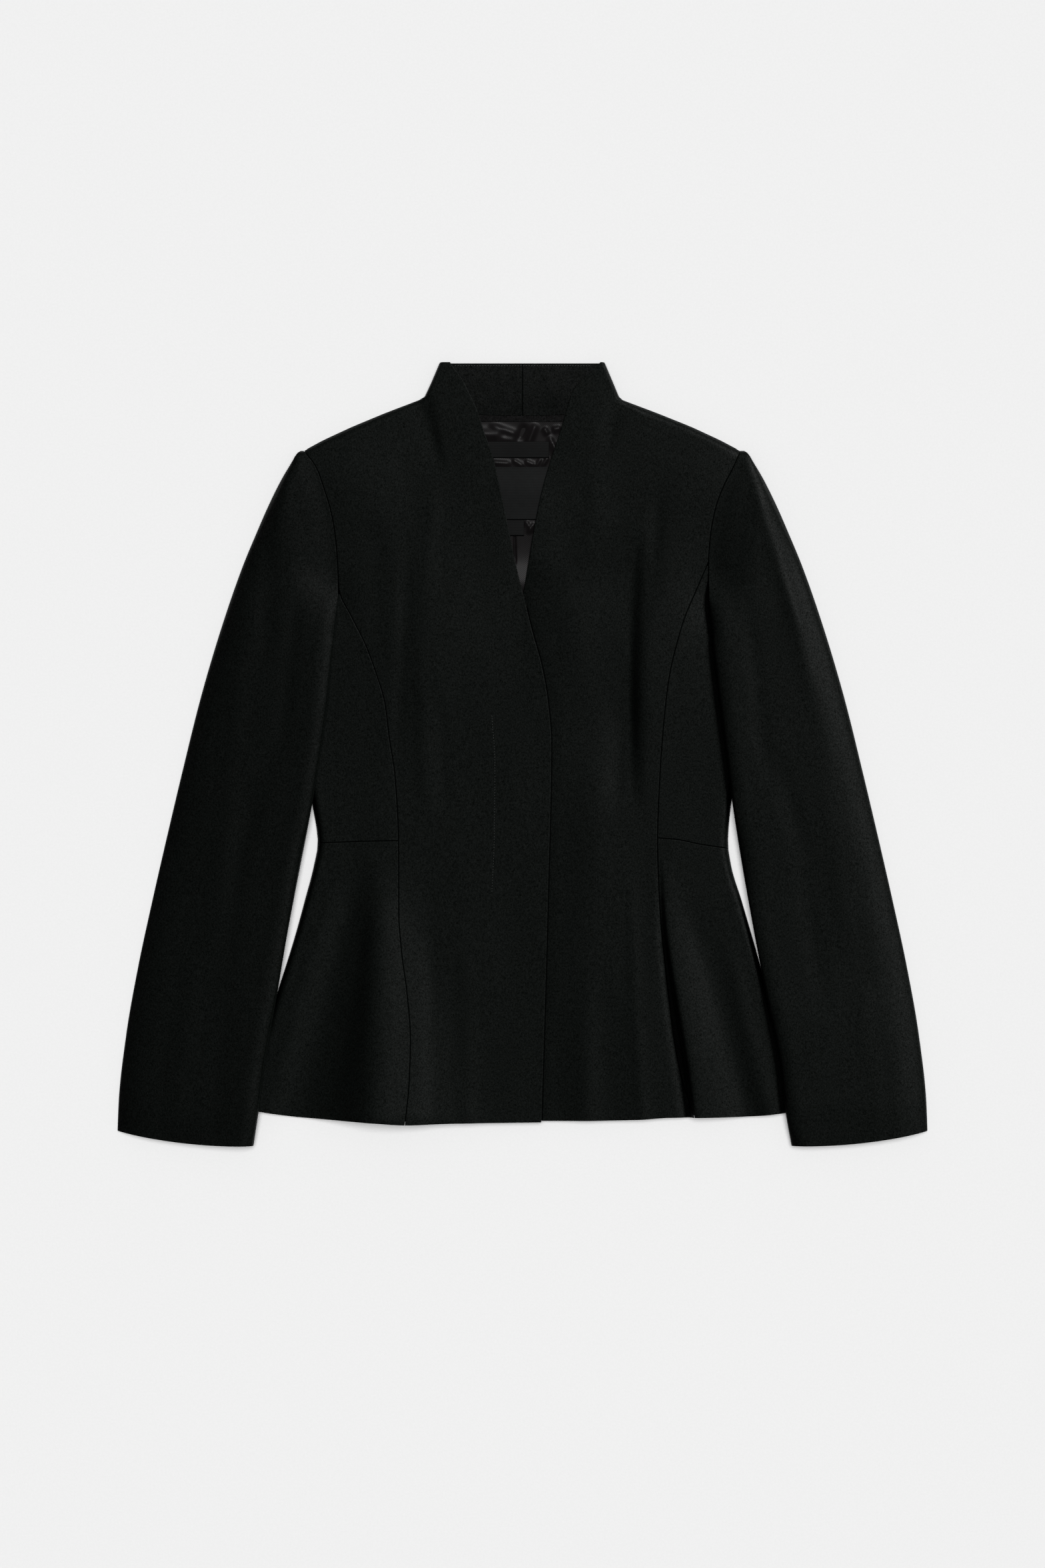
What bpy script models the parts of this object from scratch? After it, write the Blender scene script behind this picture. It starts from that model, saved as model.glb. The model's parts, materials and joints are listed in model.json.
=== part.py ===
"""Peplum jacket of black fine wool, laid flat on its back.

Sizes are in millimetres and become metres in the meshes. X runs to the viewer's right, Y towards the
collar and Z up. The wearer's right half is at negative X and its front lies on top.

Each half is drawn in its own plan frame: m is the distance from the centre line, outwards, and y the
height in the picture. A sheet is a grid of rows across m, with an outer surface and a wall below it.
"""

from collections import namedtuple

import bmesh
import bpy
import numpy as np

MM = 0.001

# Walls and clearances
FRONT_WALL = 2.0
BACK_WALL = 1.8
SLEEVE_WALL = 1.8
FACING_WALL = 1.5
LINING_WALL = 1.0
LABEL_WALL = 1.0
SEAM = 0.3
LIE = 0.7
OVERLAP = 0.6
LOWEST_FOLD = BACK_WALL + FRONT_WALL + LIE

# Heights of the outer surface above the table
FRONT_RISE = 11.0
HEM_RISE = 10.0
FOLD_EDGE = BACK_WALL + SEAM

# Landmarks along y
COLLAR_TOP = 343.3
NECK_SEAM = 297.4
COLLAR_FOOT = 311.0
SHOULDER_END = 266.5
UNDERARM = 95.0
HEAD_SPLIT = 130.0
LINING_END = 132.0
HEM_CORNER = -311.0
CUFF = -344.0

# Radii of the folded edges
COLLAR_FOLD = 5.0
SHOULDER_FOLD = 10.0
SIDE_FOLD = 7.0
SLEEVE_FOLD_IN = 24.0
SLEEVE_FOLD_OUT = 30.0

# Each half: its sign in X and the height where its princess seam leaves the armhole
Half = namedtuple("Half", "name sign princess_top")
HALVES = (Half("right", -1, 142.0), Half("left", 1, 167.0))

# Lines of the cut, a row for each height y, a column for each half
Line = namedtuple("Line", "y right left")

# Collar side and shoulder line, distance from the centre
SHOULDER = (
    Line(344, 72.7, 72.2),
    Line(326, 80.4, 79.8),
    Line(314, 86.0, 84.8),
    Line(311, 91.0, 88.0),
    Line(300, 120.0, 117.5),
    Line(288, 149.0, 147.5),
    Line(276, 175.0, 173.5),
    Line(SHOULDER_END, 192.5, 191.5),
)

# Front armhole, down to the underarm, then the side seam to the hem corner
ARMHOLE = (
    Line(SHOULDER_END, 192.5, 191.5),
    Line(252, 181.5, 185.0),
    Line(232, 174.0, 175.0),
    Line(213, 168.3, 168.5),
    Line(190, 164.3, 164.5),
    Line(168, 162.5, 163.0),
    Line(142, 161.5, 163.0),
)
SIDE = (
    Line(142, 161.5, 163.0),
    Line(130, 165.0, 167.0),
    Line(118, 175.0, 176.0),
    Line(106, 190.0, 190.0),
    Line(UNDERARM, 205.0, 205.0),
    Line(72, 203.0, 203.0),
    Line(45, 199.0, 199.0),
    Line(14, 194.5, 194.0),
    Line(-20, 189.0, 187.5),
    Line(-47, 184.3, 183.0),
    Line(-78, 180.0, 180.7),
    Line(-99, 183.6, 183.6),
    Line(-128, 191.2, 192.4),
    Line(-158, 199.4, 201.2),
    Line(-205, 214.0, 214.5),
    Line(-260, 231.5, 231.5),
    Line(HEM_CORNER, 248.0, 248.0),
)

# Princess seam, armhole to hem
PRINCESS = (
    Line(167, 162.5, 162.5),
    Line(142, 160.5, 151.7),
    Line(120, 150.0, 142.3),
    Line(96, 138.0, 135.0),
    Line(72, 129.0, 129.3),
    Line(45, 121.0, 125.5),
    Line(14, 117.0, 122.6),
    Line(-20, 112.0, 120.3),
    Line(-76, 109.0, 118.3),
    Line(-140, 108.6, 120.7),
    Line(-174, 106.0, 124.0),
    Line(-212, 101.0, 128.3),
    Line(-250, 98.3, 133.0),
    Line(-285, 99.2, 140.0),
    Line(-325, 103.0, 153.0),
)

# Neck edge and front edge, as the reach past the centre line
FRONT_EDGE = (
    Line(344, -64.0, -69.0),
    Line(336, -58.5, -61.0),
    Line(328, -52.5, -52.0),
    Line(318, -47.5, -44.0),
    Line(303, -40.5, -39.0),
    Line(281, -33.0, -32.5),
    Line(259, -25.5, -25.0),
    Line(235, -20.0, -18.0),
    Line(202, -13.0, -11.0),
    Line(167, -6.0, -5.0),
    Line(142, 0.0, -0.5),
    Line(109, 8.0, 9.5),
    Line(76, 17.0, 18.0),
    Line(47, 22.0, 22.0),
    Line(9, 25.0, 24.0),
    Line(-129, 22.0, 26.5),
    Line(-323, 16.4, 30.0),
)

# Inner fold of the sleeve below the armhole
SLEEVE_INNER = (
    Line(142, 161.5, 163.0),
    Line(115, 163.0, 164.5),
    Line(84, 167.0, 168.0),
    Line(42, 171.0, 173.0),
    Line(0, 177.0, 178.5),
    Line(-47, 185.0, 184.7),
    Line(-99, 195.3, 193.0),
    Line(-158, 206.4, 203.5),
    Line(-215, 216.0, 214.5),
    Line(-273, 226.0, 226.0),
    Line(-315, 231.8, 231.0),
    Line(CUFF, 236.4, 236.4),
)

# Outer fold of the sleeve and the height of its crown, the same on both sides
Arm = namedtuple("Arm", "y outer crown")
ARM = (
    Arm(264, 197.5, 15.0),
    Arm(257, 202.0, 16.0),
    Arm(241, 212.0, 17.5),
    Arm(218, 223.5, 18.5),
    Arm(194, 234.0, 18.5),
    Arm(165, 246.0, 18.0),
    Arm(106, 266.3, 17.5),
    Arm(47, 283.6, 17.0),
    Arm(-11, 298.0, 16.5),
    Arm(-70, 312.0, 15.5),
    Arm(-128, 325.3, 14.5),
    Arm(-187, 338.0, 14.5),
    Arm(-246, 348.4, 15.5),
    Arm(-304, 355.0, 15.5),
    Arm(CUFF, 356.6, 13.0),
)

# Inner limit of the under sleeve: back armhole, then out to the sleeve's inner fold over the side front
UNDER = (
    Line(264, 192.8, 192.0),
    Line(230, 192.0, 192.0),
    Line(190, 194.0, 194.0),
    Line(150, 198.0, 198.0),
    Line(110, 203.5, 203.5),
    Line(UNDERARM, 205.3, 205.3),
    Line(93, 198.0, 198.0),
    Line(90.5, 182.0, 182.0),
    Line(88, 166.9, 167.9),
)

# Hem and waist seam: height y at the distance m from the centre
Level = namedtuple("Level", "m right left")
HEM = (
    Level(-30, -323.2, -322.4),
    Level(60, -324.2, -322.0),
    Level(100, -325.0, -321.2),
    Level(130, -323.0, -319.4),
    Level(165, -321.0, -319.0),
    Level(197, -319.0, -318.4),
    Level(231, -314.3, -315.2),
    Level(250, HEM_CORNER, HEM_CORNER),
)
WAIST = (
    Level(100, -76.0, -72.6),
    Level(135, -76.5, -75.0),
    Level(155, -77.2, -79.0),
    Level(185, -78.2, -83.5),
)

# Soft troughs and ridges: the line of each by its m at the top, middle and low end
Fold = namedtuple("Fold", "half y_top y_low m_top m_mid m_low wide_top wide_low rise_top rise_low")
BODY_FOLDS = (
    Fold("left", 238, -30, 119, 104, 97, 8, 9, -1.2, -1.6),
    Fold("right", 170, -15, 96, 95, 96, 12, 12, -0.9, -1.0),
    Fold("right", 215, 96, 131, 129, 130, 12, 12, -0.9, -0.8),
    Fold("right", -84, -350, 126, 153, 190, 8, 27, -1.0, -4.6),
    Fold("right", -140, -350, 119, 114, 116, 9, 11, 0.5, 3.0),
    Fold("left", -88, -350, 119.5, 131, 162, 3.5, 9, -1.0, -5.0),
    Fold("left", -98, -350, 127, 158, 194, 8, 15, 0.8, 3.2),
    Fold("left", -120, -350, 156, 181, 208, 9, 14, -1.0, -2.0),
    Fold("left", -200, -350, 74, 74, 77, 13, 14, -0.8, -1.0),
    Fold("right", -160, -350, 70, 70, 67, 13, 14, -0.6, -0.8),
)
SLEEVE_FOLDS = (
    Fold("left", 250, 60, 203, 228, 266, 5, 8, 1.2, 0.7),
    Fold("right", 200, 60, 221, 225, 224, 9, 10, -0.9, -0.9),
    Fold("right", 20, -90, 216, 232, 244, 9, 10, -0.8, -0.8),
    Fold("left", 10, -110, 220, 236, 256, 9, 10, -0.7, -0.9),
)

# Row heights shared by all sheets, so that seams have their points side by side
ROWS = (
    336, 326, 318, 311, 303, 294, 284, 275, 266.5, 256, 244, 230, 214, 198, 182, 167, 163, 154, 142, 130,
    118, 106, 95, 88, 74, 50, 24, -4, -32, -56, -76, -96, -120, -146, -174, -202, -230, -256, -282, -304,
)
MIN_ROW = 3.5


def linear_srgb(value):
    """One sRGB channel, 0 to 255, as the linear value a shader takes."""
    v = value / 255
    return v / 12.92 if v <= 0.04045 else ((v + 0.055) / 1.055) ** 2.4


WOOL = (16, 18, 17)
SATIN = (60, 56, 58)
TAPE = (44, 42, 43)
LABEL_GREY = (52, 52, 55)
LABEL_BLACK = (24, 25, 27)


def material(name, colour, roughness):
    """One plain Principled finish for one piece."""
    mat = bpy.data.materials.new(name)
    mat.use_nodes = True
    shader = mat.node_tree.nodes["Principled BSDF"]
    shader.inputs["Base Color"].default_value = (*[linear_srgb(c) for c in colour], 1)
    shader.inputs["Roughness"].default_value = roughness
    shader.inputs["Metallic"].default_value = 0.0
    mat.diffuse_color = shader.inputs["Base Color"].default_value
    return mat


def smoothstep(t):
    """0 below t = 0, 1 above t = 1, with level ends."""
    t = np.clip(t, 0, 1)
    return t * t * (3 - 2 * t)


def read(rows, column, at):
    """Value of a table's column at a place along its first column: monotone cubic pieces, never past a row."""
    table = sorted((row[0], getattr(row, column)) for row in rows)
    xs = np.array([place for place, _ in table], float)
    vs = np.array([value for _, value in table], float)
    step = np.diff(xs)
    rate = np.diff(vs) / step
    slope = np.zeros(len(xs))
    slope[0], slope[-1] = rate[0], rate[-1]
    same = rate[:-1] * rate[1:] > 0
    wide, narrow = 2 * step[1:] + step[:-1], step[1:] + 2 * step[:-1]
    safe = np.where(same, rate[:-1] * rate[1:], 1)
    mean = (wide + narrow) * safe / np.where(same, wide * rate[1:] + narrow * rate[:-1], 1)
    slope[1:-1] = np.where(same, mean, 0)
    at = np.clip(at, xs[0], xs[-1])
    i = np.clip(np.searchsorted(xs, at) - 1, 0, len(xs) - 2)
    t = (at - xs[i]) / step[i]
    start = (2 * t**3 - 3 * t**2 + 1) * vs[i] + (t**3 - 2 * t**2 + t) * step[i] * slope[i]
    end = (3 * t**2 - 2 * t**3) * vs[i + 1] + (t**3 - t**2) * step[i] * slope[i + 1]
    return start + end


def straight(rows, column, at):
    """Value of a table's column with straight lines between its rows."""
    table = sorted((row[0], getattr(row, column)) for row in rows)
    return np.interp(at, [place for place, _ in table], [value for _, value in table])


def fold_sum(folds, half, m, y):
    """Height of all folds of one half: a bell across each line, faded over its ends."""
    total = np.zeros(np.shape(m))
    for f in folds:
        if f.half != half.name:
            continue
        t = (f.y_top - y) / (f.y_top - f.y_low)
        low, mid, high = t * (2 * t - 1), 4 * t * (1 - t), (1 - t) * (1 - 2 * t)
        line = high * f.m_top + mid * f.m_mid + low * f.m_low
        s = np.clip(t, 0, 1)
        wide = f.wide_top + (f.wide_low - f.wide_top) * s
        rise = f.rise_top + (f.rise_low - f.rise_top) * s
        ends = smoothstep(t / 0.25) * smoothstep((1 - t) / 0.12)
        total = total + rise * ends * np.exp(-(((m - line) / wide) ** 2))
    return total


def bell(m, y, at_m, at_y, wide, tall):
    """A smooth mound of height 1 at one place."""
    return np.exp(-(((m - at_m) / wide) ** 2) - ((y - at_y) / tall) ** 2)


def body_rise(half, m, y):
    """Outer height of the front of the body before its edges fold down.

    A level that sinks towards the hem and the sides, with mounds for the bust, the shoulder and the
    standing neck, a dip at the underarm, where the sleeve lies over it, and the folds.
    """
    level = FRONT_RISE - (FRONT_RISE - HEM_RISE) * smoothstep((-180 - y) / 140)
    level = level - 1.6 * (np.abs(m) / 200) ** 2
    out = np.abs(m)
    mounds = 6.0 * bell(out, y, 82, 112, 52, 75) + 4.0 * bell(out, y, 158, 232, 40, 42)
    neck = 1.6 * bell(out, y, 58, 305, 30, 55) + 1.2 * bell(out, y, 14, 190, 26, 60)
    dip = 2.8 * bell(m, y, 164, 134, 15, 17)
    inner = read(SLEEVE_INNER, half.name, y)
    hidden = 1.5 * smoothstep((m - inner) / 14) * smoothstep((150 - y) / 25)
    rise = level + mounds + neck - dip - hidden + fold_sum(BODY_FOLDS, half, m, y)
    spare = rise - LOWEST_FOLD
    return LOWEST_FOLD + (spare + np.sqrt(spare**2 + 1)) / 2


def fold_over(distance, radius):
    """Share of the height left at a distance from a folded edge, and how far the wall has turned."""
    turned = 1 - np.clip(distance / radius, 0, 1)
    return np.sqrt(1 - turned**2), turned


def towards_line(m, y, points):
    """Distance to a broken line and the unit direction towards it, outwards where a point lies on it."""
    best = np.full(np.shape(m), 1e9)
    out_m, out_y = np.zeros(np.shape(m)), np.zeros(np.shape(m))
    for (m0, y0), (m1, y1) in zip(points, points[1:]):
        along_m, along_y = m1 - m0, y1 - y0
        size = np.hypot(along_m, along_y)
        t = np.clip(((m - m0) * along_m + (y - y0) * along_y) / size**2, 0, 1)
        to_m, to_y = m0 + t * along_m - m, y0 + t * along_y - y
        d = np.hypot(to_m, to_y)
        near = d < best - 1e-9
        on_line = d < 0.01
        scale = np.where(on_line, 1, d)
        out_m = np.where(near, np.where(on_line, -along_y / size, to_m / scale), out_m)
        out_y = np.where(near, np.where(on_line, along_m / size, to_y / scale), out_y)
        best = np.where(near, d, best)
    return best, out_m, out_y


def front_surface(half, m, y):
    """Outer height, turn and outward direction of a centre front, folded over at collar and shoulder."""
    points = [(getattr(row, half.name), row.y) for row in SHOULDER]
    distance, out_m, out_y = towards_line(m, y, points)
    radius = COLLAR_FOLD + (SHOULDER_FOLD - COLLAR_FOLD) * smoothstep((318 - y) / 24)
    share, turned = fold_over(distance, radius)
    rise = body_rise(half, m, y)
    if half.name == "left":
        edge = read(FRONT_EDGE, "right", y)
        covered = smoothstep((edge + 45 - m) / 40) * smoothstep((178 - y) / 34)
        rise = rise - (FRONT_WALL + OVERLAP) * covered
    return FOLD_EDGE + (rise - FOLD_EDGE) * share, turned, out_m, out_y


def side_surface(half, m, y):
    """Outer height, turn and outward direction of a side piece, folded over at the side seam."""
    distance = np.where(y > UNDERARM, SIDE_FOLD, read(SIDE, half.name, y) - m)
    share, turned = fold_over(distance, SIDE_FOLD)
    return FOLD_EDGE + (body_rise(half, m, y) - FOLD_EDGE) * share, turned, 1.0, 0.0


def sleeve_lift(half, m, y):
    """Height of the under sleeve's lower face: over the body it lies on it, beside it sinks to the table."""
    side = np.where(y > UNDERARM, 205.0, read(SIDE, half.name, y))
    beside = 1 - smoothstep((m - side - 3) / 24)
    below_arm = smoothstep((128 - y) / 33)
    past_hem = 1 - smoothstep((HEM_CORNER - 4 - y) / 60)
    return (body_rise(half, m, y) + LIE) * beside * below_arm * past_hem


def sleeve_surface(half, m, y, inner, outer):
    """Outer height, turn and outward direction of an upper sleeve.

    From the armhole it starts at the body's height and swells to its crown. Below the armhole it
    folds over at its inner edge too, down to the under sleeve.
    """
    across = (m - inner) / (outer - inner)
    folded = smoothstep((148 - y) / 30)
    radius_out = 10 + (SLEEVE_FOLD_OUT - 10) * smoothstep((258 - y) / 80)
    share_out, turned_out = fold_over((outer - m) * 0.96, radius_out)
    share_in, turned_in = fold_over((m - inner) * 0.96, SLEEVE_FOLD_IN)
    share_in = 1 - folded * (1 - share_in)
    low_in = sleeve_lift(half, inner, y) + (SLEEVE_WALL + SEAM) * smoothstep((122 - y) / 30)
    low_in = np.where(y > UNDERARM, np.maximum(low_in, body_rise(half, inner, y) + LIE), low_in)
    base = FOLD_EDGE + (low_in - FOLD_EDGE) * (1 - smoothstep(across * 1.6))
    crown = read(ARM, "crown", y) + fold_sum(SLEEVE_FOLDS, half, m, y)
    z = base + (crown - base) * share_in * share_out
    seam_z, _, _, _ = front_surface(half, inner, y)
    seam_z = seam_z + (SLEEVE_WALL + 2 * LIE) * smoothstep((147 - y) / 10)
    head = 1.6 * np.exp(-(((m - inner - 11) / 8) ** 2)) * smoothstep((y - 150) / 30) * share_out
    near = (1 - smoothstep((m - inner) / 30)) * (1 - folded)
    z = z + (seam_z - z) * near + head
    turned = np.where(across > 0.5, turned_out, -turned_in * folded)
    return z, turned, 1.0, 0.0


def plan(rows, across, near, far, top=None, low=None):
    """Plan grid of a sheet: each row runs from near(y) to far(y), and end rows bend to the end lines."""
    start, end = rows[0], rows[-1]
    v = (start - rows[:, None]) / (start - end)
    y = np.repeat(rows[:, None], across.shape[-1], 1)
    for _ in range(5):
        m = near(y) + (far(y) - near(y)) * across
        y = rows[:, None] + 0 * m
        if low is not None:
            y = y + (low(m) - end) * v**6
        if top is not None:
            y = y + (top(m) - start) * (1 - v) ** 6
    return m, y


def row_heights(top, low, rows=ROWS):
    """The shared rows between two ends, with the ends themselves."""
    return np.array([top, *[y for y in rows if low + MIN_ROW < y < top - MIN_ROW], low], float)


def wall_below(m, y, surface, wall):
    """Outer and inner points of a sheet: the inner ones lie one wall in, along the turned direction."""
    z, turned, out_m, out_y = surface
    upright = np.sqrt(1 - turned**2)
    outer = np.stack([m, y, z], -1)
    inner = np.stack([m - wall * turned * out_m, y - wall * turned * out_y, z - wall * upright], -1)
    return outer, inner


def flat_wall(m, y, low, wall):
    """Outer and inner points of a sheet whose lower face is at height low."""
    low = low + 0 * m
    return np.stack([m, y, low + wall], -1), np.stack([m, y, low], -1)


def solid(name, points, mat, sign=1):
    """One closed wall from its outer and inner grids, in metres, with its faces pointing out."""
    outer, inner = (np.asarray(g, float) * (sign, 1, 1) * MM for g in points)
    rows, cols = outer.shape[:2]
    index = np.arange(rows * cols).reshape(rows, cols)
    other = index + rows * cols

    def quads(a, b, c, d):
        return np.stack([a.ravel(), b.ravel(), c.ravel(), d.ravel()], -1).tolist()

    faces = quads(index[:-1, :-1], index[1:, :-1], index[1:, 1:], index[:-1, 1:])
    faces += quads(other[:-1, :-1], other[:-1, 1:], other[1:, 1:], other[1:, :-1])
    rim = np.concatenate([index[0, :-1], index[:-1, -1], index[-1, :0:-1], index[:0:-1, 0]])
    low_rim = rim + rows * cols
    faces += quads(rim, np.roll(rim, -1), np.roll(low_rim, -1), low_rim)
    mesh = bpy.data.meshes.new(name)
    mesh.from_pydata(np.concatenate([outer.reshape(-1, 3), inner.reshape(-1, 3)]).tolist(), [], faces)
    work = bmesh.new()
    work.from_mesh(mesh)
    bmesh.ops.recalc_face_normals(work, faces=work.faces)
    if work.calc_volume(signed=True) < 0:
        bmesh.ops.reverse_faces(work, faces=work.faces)
    work.to_mesh(mesh)
    work.free()
    mesh.shade_smooth()
    mesh.set_sharp_from_angle(angle=np.radians(50))
    mesh.materials.append(mat)
    item = bpy.data.objects.new(name, mesh)
    bpy.context.scene.collection.objects.link(item)
    return item


def hem_line(half):
    """Height of the hem at a distance from the centre."""
    return lambda m: read(HEM, half.name, m)


def waist_line(half, gap=0.0):
    """Height of the waist seam at a distance from the centre, lowered by gap."""
    return lambda m: read(WAIST, half.name, m) - gap


def front_outer_limit(half):
    """Outer limit of a centre front: collar side, shoulder, armhole and princess seam."""

    def limit(y):
        upper = straight(SHOULDER, half.name, y)
        arm = read(ARMHOLE, half.name, y) - SEAM / 2
        seam = read(PRINCESS, half.name, y) - SEAM / 2
        return np.where(y >= SHOULDER_END, upper, np.where(y > half.princess_top, arm, seam))

    return limit


def front(half):
    """Centre front with its grown-on neck, from collar tip to hem."""
    rows = row_heights(COLLAR_TOP + 0.4, -323)
    far = front_outer_limit(half)
    slope = (far(rows - 1) - far(rows + 1)) / 2
    slant = np.where((rows > SHOULDER_END - 1) & (rows < 315), np.hypot(1, slope), 1)
    width = far(rows) + read(FRONT_EDGE, half.name, rows)
    fold = np.array([0, 0.8, 2.6, 5.6, 10.0])
    offsets = np.minimum(fold * slant[:, None], width[:, None] * np.linspace(0, 0.45, 5))
    rest = offsets[:, -1:] + (width[:, None] - offsets[:, -1:]) * np.linspace(0, 1, 8)[1:]
    across = 1 - np.concatenate([offsets, rest], 1) / width[:, None]
    m, y = plan(rows, across, lambda y: -read(FRONT_EDGE, half.name, y), far, low=hem_line(half))
    return wall_below(m, y, front_surface(half, m, y), FRONT_WALL)


SIDE_ACROSS = 1 - np.array([0, 0.012, 0.04, 0.09, 0.24, 0.42, 0.6, 0.8, 1])
PEPLUM_ACROSS = 1 - np.array([0, 0.01, 0.03, 0.065, 0.18, 0.32, 0.46, 0.6, 0.73, 0.84, 0.92, 1])


def side_front(half):
    """Side front, from the armhole to the waist seam, folded over at the side seam."""
    top = half.princess_top - 4

    def far(y):
        return np.where(y > 142, read(ARMHOLE, half.name, y) - SEAM / 2, read(SIDE, half.name, y))

    def near(y):
        return read(PRINCESS, half.name, y) + SEAM / 2

    m, y = plan(row_heights(top, -76), SIDE_ACROSS, near, far, low=waist_line(half))
    return wall_below(m, y, side_surface(half, m, y), FRONT_WALL)


def peplum_side(half):
    """Flared side peplum, from the waist seam to the hem."""
    m, y = plan(
        row_heights(-76, -323),
        PEPLUM_ACROSS,
        lambda y: read(PRINCESS, half.name, y) + SEAM / 2,
        lambda y: read(SIDE, half.name, y),
        top=waist_line(half, SEAM),
        low=hem_line(half),
    )
    return wall_below(m, y, side_surface(half, m, y), FRONT_WALL)


COLLAR_SIDE = 85.5
COLLAR_ACROSS = np.linspace(0, 1, 5)


def neck_curve(m):
    """Back neck seam, level at the centre and rising to the collar side."""
    return NECK_SEAM + (COLLAR_FOOT - NECK_SEAM) * (np.abs(m) / COLLAR_SIDE) ** 3


def neck_line(half, m):
    """Back neck seam, then the shoulder line."""
    shoulder = SHOULDER[3:]
    down = np.interp(m, [getattr(row, half.name) for row in shoulder], [row.y for row in shoulder])
    return np.where(np.abs(m) < COLLAR_SIDE + 1, neck_curve(m), down)


def back(half):
    """Half of the back, flat on the table, from neck and shoulder to the hem."""

    def far(y):
        arm = np.interp(y, [UNDERARM, 110, 150, 190, 230, 264], [205.0, 203.2, 197.7, 193.7, 191.7, 191.7])
        return np.where(y > UNDERARM, arm, read(SIDE, half.name, y))

    rows = np.array([297, 288, 276, 262, 246, 230, 190, 150, 110, 95, 72, 45, 14, -20, -47, -78, -99,
                     -128, -158, -205, -260, -318], float)
    m, y = plan(
        rows,
        np.append(COLLAR_ACROSS * COLLAR_SIDE / 191.7, [0.6, 0.8, 1]),
        lambda y: SEAM / 2 + 0 * y,
        far,
        top=lambda m: neck_line(half, m) - SEAM,
        low=lambda m: read(HEM, half.name, m) + 1.5,
    )
    return flat_wall(m, y, 0, BACK_WALL)


def collar_half(half, low, wall, inset, top, puff):
    """Half of the back collar: the stand behind, or the facing that lies on it and swells a little."""
    rows = np.array([top, 334, 326, 319, NECK_SEAM], float)
    m, y = plan(
        rows,
        COLLAR_ACROSS,
        lambda y: SEAM / 2 + 0 * y,
        lambda y: straight(SHOULDER, half.name, np.maximum(y, 314)) - inset,
        low=neck_curve,
    )
    middle = np.clip((y - NECK_SEAM) / (top - NECK_SEAM), 0, 1)
    lift = puff * np.sin(np.pi * middle) * (1 - smoothstep((m - 40) / 30))
    return flat_wall(m, y, low + lift, wall)


def lining_half_width(y):
    """The lining narrows from the back neck to below the point of the V."""
    return 47 - 27 * (NECK_SEAM - y) / (NECK_SEAM - LINING_END)


def lining_piece(top, low, top_line=None):
    """A strip of the back lining between two heights, across both halves."""
    rows = np.linspace(top, low, max(3, int((top - low) / 18)))
    m, y = plan(
        rows,
        np.linspace(0, 1, 7),
        lambda y: -lining_half_width(y),
        lining_half_width,
        top=top_line,
    )
    return flat_wall(m, y, FOLD_EDGE, LINING_WALL)


Label = namedtuple("Label", "name x_low x_high y_low y_high colour")
LABELS = (
    Label("label_fibre", -36.0, 23.5, 260.2, 274.5, LABEL_BLACK),
    Label("label_main", -30.0, 29.0, 206.0, 252.3, LABEL_GREY),
    Label("label_size", -15.0, 1.4, 191.9, 205.5, LABEL_BLACK),
)


def label_piece(label):
    """A woven label, made from the lining's upper face moved out by the seam gap."""
    x, y = np.meshgrid(np.linspace(label.x_low, label.x_high, 4), np.linspace(label.y_high, label.y_low, 3))
    return flat_wall(x, y, FOLD_EDGE + LINING_WALL + SEAM, LABEL_WALL)


SLEEVE_ACROSS = np.array([0, 0.015, 0.055, 0.13, 0.26, 0.43, 0.6, 0.77, 0.89, 0.955, 0.988, 1])
UNDER_ACROSS = np.array([0, 0.07, 0.15, 0.24, 0.34, 0.46, 0.7, 1])


def sleeve_limits(half):
    """Inner and outer limits of the upper sleeve."""

    def inner(y):
        arm = read(ARMHOLE, half.name, y) + SEAM / 2
        return np.where(y > 142, arm, read(SLEEVE_INNER, half.name, y))

    return inner, lambda y: read(ARM, "outer", y)


def cuff_line(m):
    """Lower edge of the cuff: level inside, rising to the outer corner."""
    return CUFF + 13 * (np.maximum(m - 248, 0) / 108.5) ** 2


def sleeve_upper(half):
    """Upper sleeve, from the front armhole to the cuff."""
    inner, outer = sleeve_limits(half)
    m, y = plan(row_heights(264, CUFF, (*ROWS, -326)), SLEEVE_ACROSS, inner, outer, low=cuff_line)
    return wall_below(m, y, sleeve_surface(half, m, y, inner(y), outer(y)), SLEEVE_WALL)


def under_limits(half):
    """Inner and outer limits of the under sleeve."""

    def inner(y):
        return np.where(y >= 88, straight(UNDER, half.name, y), read(SLEEVE_INNER, half.name, y))

    return inner, lambda y: read(ARM, "outer", y)


def sleeve_under_head(half):
    """Head of the under sleeve, flat on the table from the back armhole down to its split."""
    m, y = plan(np.array([264, 244, 214, 182, 150, HEAD_SPLIT + SEAM / 2]), UNDER_ACROSS, *under_limits(half))
    return flat_wall(m, y, 0, SLEEVE_WALL)


def sleeve_under(half):
    """Under sleeve, from its head to the cuff: on the table, and over the side of the body."""
    rows = [HEAD_SPLIT - SEAM / 2, 118, 106, UNDERARM, 93, 90.5, 88]
    rows = np.concatenate([rows, row_heights(74, CUFF, (*ROWS, -326))])
    m, y = plan(rows, UNDER_ACROSS, *under_limits(half), low=cuff_line)
    return flat_wall(m, y, sleeve_lift(half, m, y), SLEEVE_WALL)


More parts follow.
